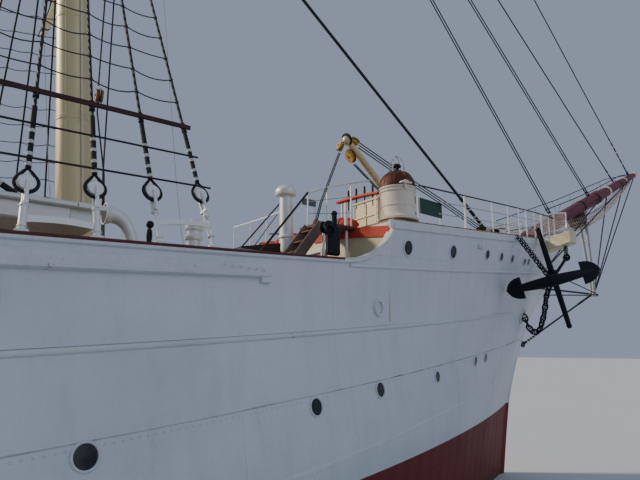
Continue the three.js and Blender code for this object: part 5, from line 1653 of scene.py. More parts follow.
@dataclass
class Bowsprit(Assembly):
    """The spike bowsprit with its bands, cap, netting, lifelines, footropes and side stays."""

    def build(self) -> None:
        """Turns the spar and hangs the net under it."""
        d = np.array([0, 0.15, 2, 4, 5.5, 8, 11, 14.4])
        r = np.interp(d, [0, 5.5, 14.4], [0.14, 0.285, 0.34])
        self.of(MAROON).tube(on_bowsprit(d[::-1]), r[::-1], 36)
        axis = unit(on_bowsprit(0) - on_bowsprit(1))
        # Each band's distance from the tip, half width, height over the spar and finish
        bands = ((0.18, 0.16, 0.014, SUNLIT_CREAM), (1.75, 0.09, 0.014, SUNLIT_CREAM), (4.15, 0.11, 0.014, SUNLIT_CREAM),
                 (5.5, 0.2, 0.045, MAROON), (7.4, 0.08, 0.014, IRON), (10.2, 0.09, 0.014, IRON),
                 (2.6, 0.05, 0.014, IRON))
        for place, width, proud, finish in bands:
            rim = float(np.interp(place, d, r)) + proud
            self.of(finish).turned([
                (rim - 0.03, -width), (rim, -width + 0.01), (rim, width - 0.01), (rim - 0.03, width)],
                on_bowsprit(place), axis, 32, loop=True)
        self.of(OLIVE).turned([(0.02, -0.36), (0.2, -0.38), (0.33, -0.28), (0.38, -0.1), (0.38, 0.1),
                               (0.33, 0.28),
                               (0.2, 0.38), (0.02, 0.36)], on_bowsprit(8.0, 0.5), axis, 28)
        self.netting()
        self.pulpit()
        self.sides()

    def netting(self) -> None:
        """A hammock of pale cord hung by thin wires from the lifelines, with a footrope at each edge."""
        t = np.linspace(0, 1, 56)
        across = np.linspace(-1, 1, 17)
        axis_x = 38.6 + (49.6 - 38.6) * t
        upper = np.interp(axis_x, [35.46, 38.37, 40.82, 43.28, 47.61, 49.8],
                          [8.73, 9.72, 10.6, 11.51, 13.28, 13.9])
        lower = np.interp(axis_x, [38.6, 42.0, 43.94, 45.67, 47.45, 49.72],
                          [8.9, 9.45, 9.95, 10.7, 11.8, 13.4])
        wide = np.interp(axis_x, [38.6, 41, 45, 49.8], [1.15, 1.0, 0.62, 0.12])
        sheet = spots(axis_x[:, None], wide[:, None] * across,
                      lower[:, None] + (upper - lower)[:, None] * across ** 2)
        self.of(NET).net(sheet[:, 3:14], 0.012)
        for side in (0, -1):
            self.of(WIRE).tube(sheet[:, side], 0.02, 6)
        self.of(WIRE).tube(np.concatenate([sheet[::7, :4], sheet[::7, 13:][:, ::-1]]), 0.006, 5, cap=False)
        for side in (3, 13):
            self.of(WIRE).tube(sheet[:, side], 0.016, 5)

    def pulpit(self) -> None:
        """White rails on posts at each side of the bowsprit, past the stem, with a net in them."""
        for side in (-1, 1):
            low = spots([37.9, 39.2, 40.3], side * np.array([1.32, 1.14, 1.05]), [8.7, 9.04, 9.3])
            high = low + spots([0.0, 0.0, 0.05], 0.0, [0.72, 0.7, 0.68])
            for share, radius in ((0.0, 0.028), (0.5, 0.016), (1.0, 0.028)):
                self.of(FITTING_WHITE).tube(between(low, high, share), radius, 8)
            self.of(FITTING_WHITE).bars(low, high, 0.03)
            across = np.linspace(0, 1, 24)[:, None, None]
            first, last = np.stack([low[0], high[0]]), np.stack([low[2], high[2]])
            rise = (high[0] - low[0]) * np.linspace(0.05, 0.95, 7)[:, None]
            rows = (first + (last - first) * across)[:, :1] + rise
            self.of(NET).net(rows, 0.008)

    def sides(self) -> None:
        """Guys to the bows, the bobstays' martingales and back-ropes from the striker."""
        wire = self.of(WIRE)
        foot = STRIKER_FOOT
        for place in (0.35, 1.8, 4.15):
            wire.bar(on_bowsprit(place, 0.14), foot + [0.12, 0, 0.1], 0.028)
        for side in (-1, 1):
            bow = skin(37.6, 7.3) * [1, -side, 1]
            wire.bar(on_bowsprit(0.6) + PORT * side * 0.1, bow, 0.026)
            wire.bar(on_bowsprit(5.5) + PORT * side * 0.3, bow + [0.1, 0, 0.1], 0.03)
            wire.bar(foot + PORT * side * 0.1, skin(36.9, 6.5) * [1, -side, 1], 0.026)
            wire.bar(foot + PORT * side * 0.1 + UP * 0.08, skin(36.3, 7.2) * [1, -side, 1], 0.022)


@dataclass
class Striker(Assembly):
    """The forked grey strut under the bowsprit, with its spreader and shackles."""

    def build(self) -> None:
        """Sets two legs on the bowsprit's band and joins them at the foot."""
        grey, iron = self.of(GREY), self.of(IRON)
        top = on_bowsprit(7.4, 0.26)
        for side in (-1, 1):
            grey.bar(top + PORT * side * 0.16, STRIKER_FOOT + PORT * side * 0.06, 0.07, 0.075, 16)
            iron.ball(STRIKER_FOOT + PORT * side * 0.17, 0.05)
        grey.turned([(0.1, -0.24), (0.15, -0.2), (0.15, 0.2), (0.1, 0.24)], top + [0.02, 0, -0.02], PORT, 20)
        grey.box(STRIKER_FOOT, (0.5, 0.3, 0.16), edge=0.04)
        for share in (0.35, 0.62, 0.85):
            spot = between(top, STRIKER_FOOT, share)
            grey.bar(spot - PORT * 0.14, spot + PORT * 0.14, 0.03)
        for x in (-0.2, 0, 0.2):
            iron.hoop(STRIKER_FOOT + [x, 0, 0.02], (0, 1, 0.2), 0.075, 0.02, 14, 6)


def stay_rows() -> list[tuple[str, Array, Array, float, bool]]:
    """Each main stay's node, head, foot, radius and whether it is doubled."""
    deck = float(castle_top(36.8))
    return [
        ("fore_stay", FORE.at(15.6, 0.37), np.array([36.8, 0, deck + 0.1]), 0.06, False),
        ("main_stay", MAIN.at(15.9, 0.37), FORE.at(2.6, -0.4), 0.06, False),
        ("mizzen_stay", MIZZEN.at(14.3, 0.33), np.array([-1.7, 0, float(deck_top(-1.7)) + 0.07]), 0.05,
         False),
        ("fore_topmast_stay", FORE.at(28.05, 0.3), on_bowsprit(10.2, -0.32), 0.045, True),
        ("jib_stay", FORE.at(28.35, 0.3), on_bowsprit(6.2, -0.28), 0.045, True),
        ("flying_jib_stay", FORE.at(37.0, 0.55), on_bowsprit(0.9, -0.15), 0.03, False),
        ("bobstay", np.array([43.95, 0, 6.78]), skin(37.98, 4.45) * [1, 0, 1], 0.045, False),
    ]


@dataclass
class MainStay(Assembly):
    """One stay: laid wire with served ends, white seizings and a loop at its foot."""

    head: Array = field(default_factory=lambda: np.zeros(3))
    foot: Array = field(default_factory=lambda: np.zeros(3))
    radius: float = 0.045
    doubled: bool = False

    def build(self) -> None:
        """Lays the wire and dresses its ends."""
        run = unit(self.head - self.foot)
        length = float(np.linalg.norm(self.head - self.foot))
        served = 0.5 if self.doubled else min(2.6, length * 0.2)
        for side in ((-0.05, 0.05) if self.doubled else (0.0,)):
            off = PORT * side
            radius = self.radius * (0.5 if self.doubled else 0.82)
            self.of(WIRE).bar(self.foot + off, self.head + off, radius, sides=12)
            self.of(SERVED).bar(self.foot + off, self.foot + off + run * served, radius * 1.3, sides=12)
            self.of(SERVED).bar(self.head + off - run * served, self.head + off, radius * 1.3, sides=12)
            for share in (() if self.doubled else (0.3, 0.45, 0.6, 0.75, 0.9)):
                spot = self.foot + off + run * served * share
                self.of(CORD).bar(spot, spot + run * 0.07, radius * 1.42, sides=12)
        self.of(IRON).hoop(self.foot + run * 0.12, PORT, 0.1, 0.03, 18, 7)


@dataclass
class FineRigging(Assembly):
    """Backstays, topmast shrouds, the outer jib stay, the high stays, and ropes down by the fore mast."""

    def build(self) -> None:
        """Runs wires between places on the masts and the hull, clear of the swung yards."""
        wire = self.of(WIRE)
        for head, foot in ((FORE.at(FORE.cross - 0.85, 0.46), on_bowsprit(3.0, -0.24)),
                           (MAIN.at(MAIN.cross - 2.2, 0.1), FORE.at(14.7, -0.1)),
                           (MAIN.at(MAIN.truck - 1.2, 0.46), FORE.at(28.2, -0.1)),
                           (MIZZEN.at(MIZZEN.cross - 2.0, 0.1), MAIN.at(15.0, -0.1)),
                           (MIZZEN.at(MIZZEN.truck - 1.2, 0.46), MAIN.at(24.5, -0.1))):
            wire.bar(foot, head, 0.026, sides=8)
            run = unit(head - foot)
            self.of(SERVED).bar(foot, foot + run * 0.9, 0.036, sides=8)
            self.of(CORD).bar(foot + run * 0.6, foot + run * 0.66, 0.042, sides=8)
        for m in MASTS:
            self.topmast_shrouds(m)
            for side in (-1, 1):
                self.backstays(m, side)
        self.ropes()

    def backstays(self, m: Mast, side: int) -> None:
        """One side's backstays, each set up with a white screw on the rail or the poop."""
        heads = ((m.cross - 1.4, 0.0, 0.16), (m.cross - 1.7, 0.0, 0.16), (m.truck - 3.2, 0.46, 0.06),
                 (m.truck - 0.9, 0.46, 0.04))
        for back, (s, out, y_head) in zip((4.0, 4.3, 4.6) if m is MIZZEN else (5.3, 6.1, 6.9, 7.7), heads):
            x = m.x - back
            poop = x < POOP_X
            z = float(poop_top(x) if poop else rail_z(x))
            foot = np.array([x, side * (float(half_breadth(x, z)) - (0.3 if poop else 0.1)), z + 0.02])
            head = m.at(s, out, side * y_head)
            run = unit(head - foot)
            self.of(WIRE).bar(foot + run * 0.9, head, 0.024, sides=8)
            self.of(SERVED).bar(foot + run * 0.9, foot + run * 1.7, 0.034, sides=8)
            self.of(FITTING_WHITE).bar(foot, foot + run * 0.72, 0.042, sides=12)
            self.of(FITTING_WHITE).ball(foot + run * 0.84, 0.085, 12)
            self.of(FITTING_WHITE).box(foot, (0.16, 0.1, 0.06))

    def topmast_shrouds(self, m: Mast) -> None:
        """Topmast shrouds from the top's rim to the crosstrees, with their steps, and their struts below."""
        for side in (-1, 1):
            out = np.array([-0.94, -0.76, -0.58])
            feet = m.at(m.top + 0.05, out, side * 1.4)
            heads = m.at(m.cross - 1.15, out * 0.15, side * 0.25)
            self.of(WIRE).bars(feet, heads, 0.024)
            share = np.arange(0.05, 0.86, 0.034)
            rows = feet[None] + (heads - feet)[None] * share[:, None, None]
            self.of(HEMP).tube(rows, 0.012, 4, cap=False)
            struts = m.at(m.top - 1.6, out * 0.2, side * (float(m.thick(m.top)) + 0.02))
            self.of(WIRE).bars(m.at(m.top, out, side * 1.4), struts, 0.024)

    def ropes(self) -> None:
        """A fall with its brown block and thin pale halyards that come down ahead of the fore mast."""
        y = -0.9
        for line in (((21.3, 14.6), (21.37, 11.95), (21.4, 9.87)),
                     ((21.43, 9.5), (21.42, 9.27), (21.67, 7.91), (21.77, 6.62), (21.75, 4.5)),
                     ((21.5, 14.6), (21.56, 12.03), (21.65, 7.9), (21.73, 6.62), (21.7, 4.5))):
            self.of(HEMP).tube(np.array([(x, y, z) for x, z in line]), 0.017, 8)
        self.block(np.array([21.43, y, 9.64]), UP, 0.15, TEAK)
        for line in (((22.6, 16.5), (22.99, 13.19), (23.6, 8.41), (23.81, 7.09), (24.0, 6.4)),
                     ((20.1, 13.4), (20.4, 10.9), (20.78, 7.86), (20.82, 7.64), (21.1, 5.2))):
            self.of(CORD).tube(np.array([(x, 0.0, z) for x, z in line]), 0.007, 6)


# Ground tackle and deck fittings
@dataclass
class Anchor(Assembly):
    """A stocked anchor at the bow: shank, curved arms with palms, stock, ring, tackles and chain."""

    side: int = -1
    shank: float = 2.9
    arm: float = 1.12
    stock: float = 1.7

    def build(self) -> None:
        """Shapes the anchor in its own frame on the starboard side, then mirrors it to port."""
        crown = np.array([33.57, -3.95, 6.25])
        along = unit([0.87, 0.455, 0.16])
        out = unit(np.cross(along, [-0.1, 0.18, 1.0]))
        up = np.cross(out, along)
        work = Assembly("work")

        def at(a: Number, b: Number, c: Number) -> Array:
            """Points by their distances along the shank, up along the stock and out from the hull."""
            spot = crown
            for distance, axis in ((a, along), (b, up), (c, out)):
                spot = spot + np.multiply.outer(np.asarray(distance, float), axis)
            return spot

        iron = work.of(BLACK)
        iron.tube(at(np.array([-0.12, 0, 0.5, 1.5, 2.5, self.shank]), 0, 0),
                  [0.1, 0.185, 0.165, 0.14, 0.12, 0.11],
                  18)
        t = np.linspace(-1, 1, 25)
        bend = 0.3 * np.abs(t) ** 1.6 + 0.42 * np.clip(np.abs(t) - 0.62, 0, 1) * 1.2
        iron.tube(at(bend, 0, t * self.arm), 0.17 - 0.085 * np.abs(t) ** 1.5, 16)
        turn = np.linspace(-math.pi / 2, math.pi / 2, 11)
        palm = list(zip(-0.14 + 0.5 * np.cos(turn), 0.335 * np.sin(turn)))
        for way in (-1, 1):
            spot = at(0.38, 0, way * (self.arm - 0.14))
            reach = unit(out * way * 0.9 + along * 0.42)
            iron.plate(palm, spot, reach, up, 0.07)
            iron.ball(spot + reach * 0.3 + along * 0.06, 0.1, 12)
        rod = np.linspace(-1, 1, 9)
        iron.tube(at(self.shank - 0.25, rod * self.stock, 0), 0.1 - 0.022 * np.abs(rod), 14)
        for way in (-1, 1):
            iron.ball(at(self.shank - 0.25, way * self.stock * 0.985, 0), 0.088, 14)
            iron.drum(at(self.shank - 0.25, way * 0.2, 0), up, 0.15, -0.03, 0.03, 16)
        iron.hoop(at(self.shank + 0.02, 0, 0), up, 0.19, 0.038, 22)
        hook = np.array([36.85, -2.75, float(castle_z(36.62)) + 0.19 * 0.7 - 0.443])
        shackle = hook - UP * 0.4
        iron.bar(at(2.35, 0, 0), shackle, 0.05, sides=10)
        for x in (-0.06, 0.06):
            chain(iron, np.array([shackle + [x, 0, 0], hook + [x, 0, 0.42]]), 0.06, False)
        iron.hoop(shackle, FORWARD, 0.1, 0.035, 16)
        cable = curved([at(self.shank + 0.18, 0, 0), [36.32, -2.2, 6.16], [36.42, -1.99, 5.55],
                        [36.47, -1.75, 5.03],
                        [36.38, -1.59, 4.9], [36.27, -1.47, 5.03], [36.16, -1.36, 5.45]], 60)
        chain(iron, cable, 0.15)
        for back, reach, size in ((33.65, 0.12, 0.085), (34.0, 1.3, 0.05)):
            rail = skin(back, castle_z(back) - 0.02, 0.06)
            chain(iron, np.array([at(reach, 0, 0), rail]), size, False)
        for finish, form in work.forms.items():
            self.of(finish).join(form if self.side < 0 else form.mirrored())


@dataclass
class FishDavit(Assembly):
    """The buff davit with its ochre blocks; it turns on its heel."""

    def build(self) -> None:
        """Bends the tube over the head and hangs two blocks from it."""
        foot = float(castle_top(29.0)) + 0.009
        base = np.array([28.75, -2.0, foot])
        head = np.array([27.3, -2.2, 9.65])
        path = curved([base, base + UP * 0.5, [28.75, -2, 8.2], [28.6, -2.02, 8.72], [28.1, -2.09, 9.12],
                       head], 40)
        self.of(BUFF).tube(path, np.linspace(0.115, 0.085, 40), 20)
        self.of(BUFF).turned([(0.25, 0), (0.25, 0.05), (0.17, 0.1), (0.115, 0.13), (0, 0.13)], base, sides=28)
        self.of(BUFF).ball(head, 0.13, 14)
        self.block(np.array([27.07, -2.2, 9.42]), unit([0.35, 0, 0.9]), 0.13)
        self.block(np.array([27.56, -2.2, 9.69]), unit([0.9, 0, -0.3]), 0.13)
        self.block(np.array([27.42, -2.2, 9.24]), unit([0.5, 0, -0.8]), 0.17)
        self.of(IRON).hoop(head + [0, 0, 0.02], (0.8, 0, 0.5), 0.14, 0.035)


@dataclass
class Tower(Assembly):
    """The round white lamp tower with a copper dome, its bracket, bands and wire guard."""

    spot: tuple[float, float] = (27.98, -3.3)

    def build(self) -> None:
        """Turns the drum and its dome and dresses them."""
        white, copper = self.of(CREAM_WHITE), self.of(COPPER)
        base = np.array([*self.spot, float(castle_top(28.48)) + 0.003])
        white.turned([
            (0.5, 0), (0.5, 0.05), (0.46, 0.08), (0.43, 0.14), (0.42, 0.2), (0.42, 0.33), (0.435, 0.34),
            (0.435, 0.385), (0.42, 0.395), (0.42, 0.7), (0.445, 0.71), (0.445, 0.74), (0.43, 0.75),
            (0.43, 0.78),
            (0.455, 0.79), (0.455, 0.83), (0.3, 0.84)], base, sides=48)
        a = np.linspace(0, np.pi / 2, 15)
        dome = np.stack([0.45 * np.cos(a) ** 0.8, 0.83 + 0.46 * np.sin(a)], 1)
        copper.turned([(0.38, 0.82), *dome[:-2].tolist(), (0.075, 1.295), (0.055, 1.33), (0.055, 1.43),
                       (0, 1.44)], base,
                      sides=48)
        copper.hoop(base + UP * 0.845, UP, 0.448, 0.016, 44)
        for turn in np.linspace(0, 2 * np.pi, 11)[:-1]:
            ray = np.array([np.cos(turn), np.sin(turn), 0])
            arc = np.linspace(0.1, 1.25, 8)
            copper.tube(base + ray * (0.45 * np.cos(arc) ** 0.8 + 0.003)[:, None]
                        + UP * (0.83 + 0.46 * np.sin(arc))[:, None], 0.008, 5)
        self.of(IRON).turned([(0.055, 1.4), (0.11, 1.405), (0.11, 1.44), (0.07, 1.48), (0, 1.485)], base,
                             sides=20)
        outward = unit([-0.2, -1, 0])
        bracket = base + outward * 0.44 + UP * 0.87 - FORWARD * 0.06
        axes = np.array([np.cross(outward, UP), outward, UP])
        white.box(bracket, (0.3, 0.12, 0.045), axes, 0.012)
        white.box(bracket + UP * 0.03, (0.12, 0.1, 0.06), axes, 0.012)
        white.box(bracket - UP * 0.08 - FORWARD * 0.02, (0.05, 0.06, 0.14), axes, 0.012)
        arch = np.linspace(0.1, np.pi - 0.1, 17)
        for turn in (0.3, 1.9):
            ray = np.array([np.cos(turn), np.sin(turn), 0])
            self.of(CORD).tube(base + ray * (0.2 * np.cos(arch))[:, None]
                               + UP * (1.22 + 0.47 * np.sin(arch) ** 0.8)[:, None], 0.013, 6)
        light = unit([1, -0.9, 0])
        self.port(base + light * 0.405 + UP * 0.55, light, 0.09, BRONZE)


@dataclass
class Capstan(Assembly):
    """The white capstan with whelps, bar holes and pawl ring; it turns."""

    def build(self) -> None:
        """Turns the barrel and sets six whelps round it."""
        base = np.array([31.5, 0, float(castle_top(32.12)) + 0.003])
        self.of(FITTING_WHITE).turned([
            (0.62, 0), (0.62, 0.1), (0.58, 0.13), (0.4, 0.24), (0.33, 0.4), (0.3, 0.62), (0.36, 0.8),
            (0.44, 0.88),
            (0.5, 0.93), (0.5, 1.1), (0.42, 1.14), (0.3, 1.2), (0, 1.2)], base, sides=40)
        for turn in np.arange(6) * np.pi / 3:
            ray = np.array([np.cos(turn), np.sin(turn), 0])
            self.of(FITTING_WHITE).tube(np.array([base + ray * r + UP * h for r, h in (
                (0.47, 0.2), (0.38, 0.35), (0.34, 0.6), (0.4, 0.84))]), 0.05, 8)
            self.of(IRON).box(base + ray * 0.495 + UP * 1.015, (0.03, 0.1, 0.1), np.array([
                ray, np.cross(UP, ray), UP]), 0.006)
        self.of(BRONZE).turned([(0.16, 1.19), (0.16, 1.197), (0, 1.2)], base, sides=24)


@dataclass
class Foredeck(Assembly):
    """What stands by the break of the forecastle: rails, ladder, bundles, winch, blocks and bollards."""

    def build(self) -> None:
        """Places each fitting on the deck that carries it."""
        self.rails()
        self.break_rail()
        self.ladder()
        self.bundles()
        self.winch()
        self.lockers()
        self.vents()
        self.falls()
        self.bollards()

    def rails(self) -> None:
        """White stanchions round the forecastle's edge under a thin dark top rail, netted at the bow."""
        x = np.array([28.5, 29.4, 30.8, 32.55, 33.75, 34.7, 35.4, 36.3, 37.2, 38.2, 39.2])
        work = Assembly("work")
        feet = spots(x, 0.24 - half_breadth(x, castle_z(x)), castle_top(x))
        work.of(FITTING_WHITE).bars(feet[2:] - UP * 0.03, feet[2:] + UP * 0.96, 0.021)
        work.of(FITTING_WHITE).bar(feet[2], feet[2] + UP * 0.9, 0.035)
        for height in (0.32, 0.65):
            work.of(CORD).tube(feet[1:] + UP * height, 0.012, 6)
        work.of(IRON).tube(feet + UP * 0.97, 0.02, 8)
        for spot in feet[2:] + UP * 0.65:
            work.of(FITTING_WHITE).ball(spot, 0.033, 8)
        grid = np.stack([feet[6:] + UP * h for h in np.linspace(0.1, 0.92, 8)])
        place = np.linspace(0, 4, 26)
        dense = np.stack([np.stack([np.interp(place, range(5), row[:, i]) for i in range(3)],
                                   1) for row in grid])
        work.of(CORD).net(dense, 0.006)
        self.on_both_sides(work)

    def break_rail(self) -> None:
        """The white rail athwart the break, open at the ladder, with its posts, lines and a grey board."""
        deck = float(castle_top(27.2))
        y, z = [0.78, 1.6, 2.6, 3.72], [8.34, 8.33, 8.36, 8.4]
        top, foot = spots(27.2, y, z), spots(27.2, y, deck)
        self.of(FITTING_WHITE).tube(top, 0.022, 8)
        self.of(FITTING_WHITE).bars(foot - UP * 0.02, top, 0.018, 8)
        for share in (0.33, 0.67):
            self.of(CORD).tube(foot + (top - foot) * share, 0.009, 6)
        rail = np.array([(26.05, -2.2, 8.0), (26.63, -2.2, 8.24), (27.2, -2.45, 8.4), (27.5, -2.82, 8.42)])
        self.of(FITTING_WHITE).tube(rail, 0.027, 10)
        foot = rail[:3] * [1, 1, 0] + UP * np.array([[7.2], [7.2], [deck]])
        self.of(FITTING_WHITE).bars(foot - UP * 0.02, rail[:3], 0.018, 8)
        for share in (0.35, 0.7):
            self.of(CORD).tube(foot + (rail[:3] - foot) * share, 0.009, 6)
        self.of(FITTING_WHITE).bar((27.2, -2.24, deck - 0.02), (27.2, -2.24, 7.92), 0.04)
        self.of(BOARD_GREY).box((26.3, -1.9, 7.86), (0.42, 0.02, 0.17), edge=0.006)
        self.of(FITTING_WHITE).bar((26.5, -1.9, 7.2), (26.5, -1.9, 7.8), 0.014)

    def ladder(self) -> None:
        """A steep ladder and its landing on the starboard side of the store house, with dark handrails."""
        self.of(RAIL_BROWN).box((26.6, -2.3, 7.14), (1.1, 0.9, 0.1), edge=0.02)
        for x in (26.2, 26.9):
            self.of(FITTING_WHITE).bar((x, -2.62, float(deck_top(x)) - 0.02), (x, -2.62, 7.1), 0.035)
        top, low = np.array([26.05, -2.2, 7.12]), np.array([24.1, -2.2, float(deck_top(24.1))])
        run = unit(top - low)
        for y in (0.0, -0.55):
            a, b = low + PORT * y, top + PORT * y
            self.of(LADDER).box((a + b) / 2, (float(np.linalg.norm(b - a)), 0.05, 0.24), np.array([
                run, PORT, np.cross(run, PORT)]))
        step = np.linspace(0.06, 0.94, 9)[:, None]
        self.of(TEAK).box(low - PORT * 0.275 + step * (top - low), (0.2, 0.5, 0.035))
        self.of(IRON).bar((26.05, -2.2, 8.0), (24.55, -2.2, 6.14), 0.026, sides=8)
        self.of(IRON).bar((24.55, -2.2, 6.14), (24.5, -2.2, 5.2), 0.02, sides=8)
        for y, high, foot, radius in ((0.78, (27.2, 8.63), (25.5, 6.62), 0.022),
                                      (1.0, (27.2, 8.28), (26.2, 6.9), 0.013)):
            self.of(IRON).bar((high[0], y, high[1]), (foot[0], y, foot[1]), radius, sides=8)
            self.of(IRON).bar((foot[0], y, foot[1]), (foot[0], y, 6.44), 0.018, sides=8)

    def bundles(self) -> None:
        """Red gear lashed down in lumpy rolls along the break, behind the rail."""
        deck = float(castle_top(27.5))
        rolls = ((-1.55, 1.25, 0.24), (-0.35, 1.0, 0.22), (0.85, 1.25, 0.23), (2.05, 1.1, 0.22),
                 (3.0, 0.9, 0.19))
        for y, long, tall in rolls:
            t = np.linspace(0, 1, 20)
            swell = np.sin(np.pi * np.clip(t, 0.03, 0.97)) ** 0.35
            turn = 2 * np.pi * np.arange(24) / 24
            lumps = (1 + 0.1 * np.sin(9 * t[:, None] * np.pi + 2 * turn + y)
                     + 0.06 * np.sin(23 * t[:, None] + 5 * turn))
            r = tall * swell[:, None] * lumps
            ring = spots(27.55 + r * np.sin(turn) * 1.3, y + (t[:, None] - 0.5) * long + 0 * r,
                         deck + tall * 0.85 + r * np.cos(turn))
            self.of(RED_GEAR).loft(ring)
            for i in (5, 13):
                self.of(HEMP).tube(ring[i] + (ring[i] - ring[i].mean(0)) * 0.04, 0.014, 5, loop=True)

    def winch(self) -> None:
        """A black hand winch on its stand beside the break."""
        x, y = 25.92, -3.3
        foot = float(deck_top(x))
        black = self.of(BLACK)
        self.of(IRON).turned([(0.3, 0), (0.3, 0.06), (0.16, 0.14), (0.13, 1.35), (0.17, 1.4), (0, 1.42)],
                             (x, y, foot),
                             sides=20)
        black.turned([(0.13, -0.1), (0.13, -0.07), (0.08, -0.05), (0.08, 0.05), (0.13, 0.07), (0.13, 0.1),
                      (0, 0.1)],
                     (x - 0.15, y, 6.9), PORT, 24)
        black.box((x + 0.02, y, 6.6), (0.34, 0.14, 0.62), edge=0.05)
        black.hoop((x - 0.15, y - 0.12, 6.82), PORT, 0.11, 0.03, 20, 6)
        black.bar((x - 0.15, y - 0.2, 6.9), (x - 0.15, y + 0.2, 6.9), 0.035)
        black.bar((x + 0.08, y, 6.6), (x + 0.06, y, 7.22), 0.062, 0.056)
        black.ball((x + 0.06, y, 7.23), 0.07)

    def lockers(self) -> None:
        """A cream locker under an arched red rail with pins, and green sidelight boards on posts."""
        deck = float(castle_top(28.1))
        self.of(SUNLIT_CREAM).box((28.35, -2.0, (deck + 8.16) / 2), (0.5, 0.95, 8.16 - deck), edge=0.03)
        self.of(SUNLIT_CREAM).box((28.35, -2.0, 8.17), (0.56, 1.02, 0.06), edge=0.02)
        for y in (-2.46, -2.0, -1.54):
            self.of(SUNLIT_CREAM).box((28.09, y, (deck + 8.1) / 2), (0.03, 0.05, 8.1 - deck), edge=0.01)
        self.of(SUNLIT_CREAM).box((28.09, -2.0, 7.75), (0.03, 0.95, 0.05), edge=0.01)
        y = np.linspace(-2.55, -0.82, 15)
        arch = 8.39 - 0.1 * ((y + 0.9) / 1.6) ** 2
        face = np.array([(0.09, 0, -0.025), (0.09, 0, 0.025), (-0.09, 0, 0.025), (-0.09, 0, -0.025)])
        self.of(RED_LEAD).loft(spots(28.1, y, arch)[:, None] + face)
        for place in (-2.28, -1.96, -1.62, -1.29):
            z = float(np.interp(place, y, arch))
            self.of(IRON).turned([(0.016, -0.32), (0.02, 0.03), (0.03, 0.05), (0.028, 0.24), (0, 0.27)],
                                 (28.1, place, z), sides=10)
        for place in (-2.4, -1.0):
            self.of(FITTING_WHITE).bar((28.1, place, deck), (28.1, place, 8.33), 0.03)
        for side in (-1, 1):
            deck = float(castle_top(30.6))
            x = np.array([30.15, 31.1])
            feet = spots(x, side * 2.0, deck - 0.02)
            self.of(FITTING_WHITE).bars(feet, feet + UP * 1.15, 0.022)
            self.of(GREEN_BOARD).plate([(-0.48, -0.22), (0.48, -0.25), (0.48, 0.2), (-0.48, 0.24)],
                                       (30.63, side * 2.05, 8.39), FORWARD, UP, 0.04)

    def vents(self) -> None:
        """A ringed domed vent, two bent white ducts with black discs in their mouths as painted shade, and a
        roller fairlead on its post on each side.
        """
        z = float(deck_top(23.5))
        self.of(FITTING_WHITE).turned([
            (0.22, 0), (0.22, 0.05), (0.15, 0.09), (0.15, 2.0), (0.19, 2.02), (0.2, 2.08), (0.18, 2.12),
            (0.15, 2.14), (0.15, 2.22), (0.19, 2.24), (0.2, 2.3), (0.17, 2.4), (0.1, 2.47), (0, 2.49)],
            (23.49, -1.5, z), sides=28)
        for side in (-1, 1):
            foot = float(deck_top(22.2))
            path = curved([(x, side * 1.7, z) for x, z in (
                (22.15, foot), (22.15, 5.8), (22.1, 6.4), (21.94, 6.74), (21.74, 6.86), (21.55, 6.87))], 36)
            radius = np.interp(np.arange(36), [0, 20, 30, 35], [0.13, 0.13, 0.17, 0.21])
            self.of(FITTING_WHITE).tube(path, radius, 20)
            run = unit(path[-1] - path[-2])
            self.of(FITTING_WHITE).hoop(path[-1], run, 0.205, 0.016, 28)
            # Black disc across the mouth: painted shade for the dark inside of the duct.
            self.of(BLACK).drum(path[-1], run, 0.19, 0, 0.008)
            self.of(FITTING_WHITE).hoop((22.15, side * 1.7, 6.2), UP, 0.135, 0.016, 24)
            post = np.array([21.53, side * 4.4, float(deck_top(21.5))])
            self.of(IRON).bar(post, post * [1, 1, 0] + UP * 5.88, 0.04)
            self.of(IRON).hoop(post * [1, 1, 0] + UP * 5.97, FORWARD + PORT * 0.6 * side, 0.09, 0.026, 20)
            self.of(IRON).ball(post * [1, 1, 0] + UP * 6.14, 0.06)

    def falls(self) -> None:
        """The davit's tackles, led to the deck and along the forecastle."""
        hemp = self.of(HEMP)
        for x in (0.0, 0.045):
            hemp.tube(np.array([(27.02 + x, -2.2, 9.24), (26.41 + x, -2.22, 7.81), (26.2 + x, -2.3, 7.28)]),
                      0.015, 6)
        self.block(np.array([26.2, -2.3, 7.27]), unit([1, 0, 2.4]), 0.08, TEAK)
        for i in range(3):
            off = np.array([0, i * 0.04, -i * 0.05])
            hemp.tube(np.array([(27.75, -2.2, 9.68), (29.0, -2.2, 9.28), (29.89, -2.2, 8.99),
                                (31.11, -2.2, 8.64),
                                (33.1, -2.15, 8.04)]) + off, 0.015, 6)
        foot = float(castle_top(28.6)) + 0.95
        for i in range(2):
            hemp.bar((27.56, -2.2 + i * 0.05, 9.05), (28.6, -2.3 + i * 0.05, foot), 0.015, sides=6)

    def bollards(self) -> None:
        """Pairs of bollards on the forecastle and the poop, and cleats by the rails."""
        for x, y, deck in ((34.6, 1.2, castle_top), (-37.6, 3.2, poop_top), (-25.2, 4.6, poop_top)):
            for side in (-1, 1):
                z = float(deck(x + 0.45))
                self.of(BLACK).box((x, side * y, z + 0.03), (1.3, 0.5, 0.1))
                for a in (-0.38, 0.38):
                    self.of(BLACK).turned([(0.17, 0), (0.15, 0.06), (0.13, 0.24), (0.17, 0.3), (0.17, 0.34),
                                           (0.1, 0.37),
                                           (0, 0.38)], (x + a, side * y, z + 0.06), sides=22)


@dataclass(frozen=True)
class HouseSize:
    """A deckhouse: middle, length, width, height, its deck, and how far its roof stands out."""

    x: float
    length: float
    width: float
    height: float
    deck: Callable
    over: float
    over_fore: float
    eave: float = 0.0


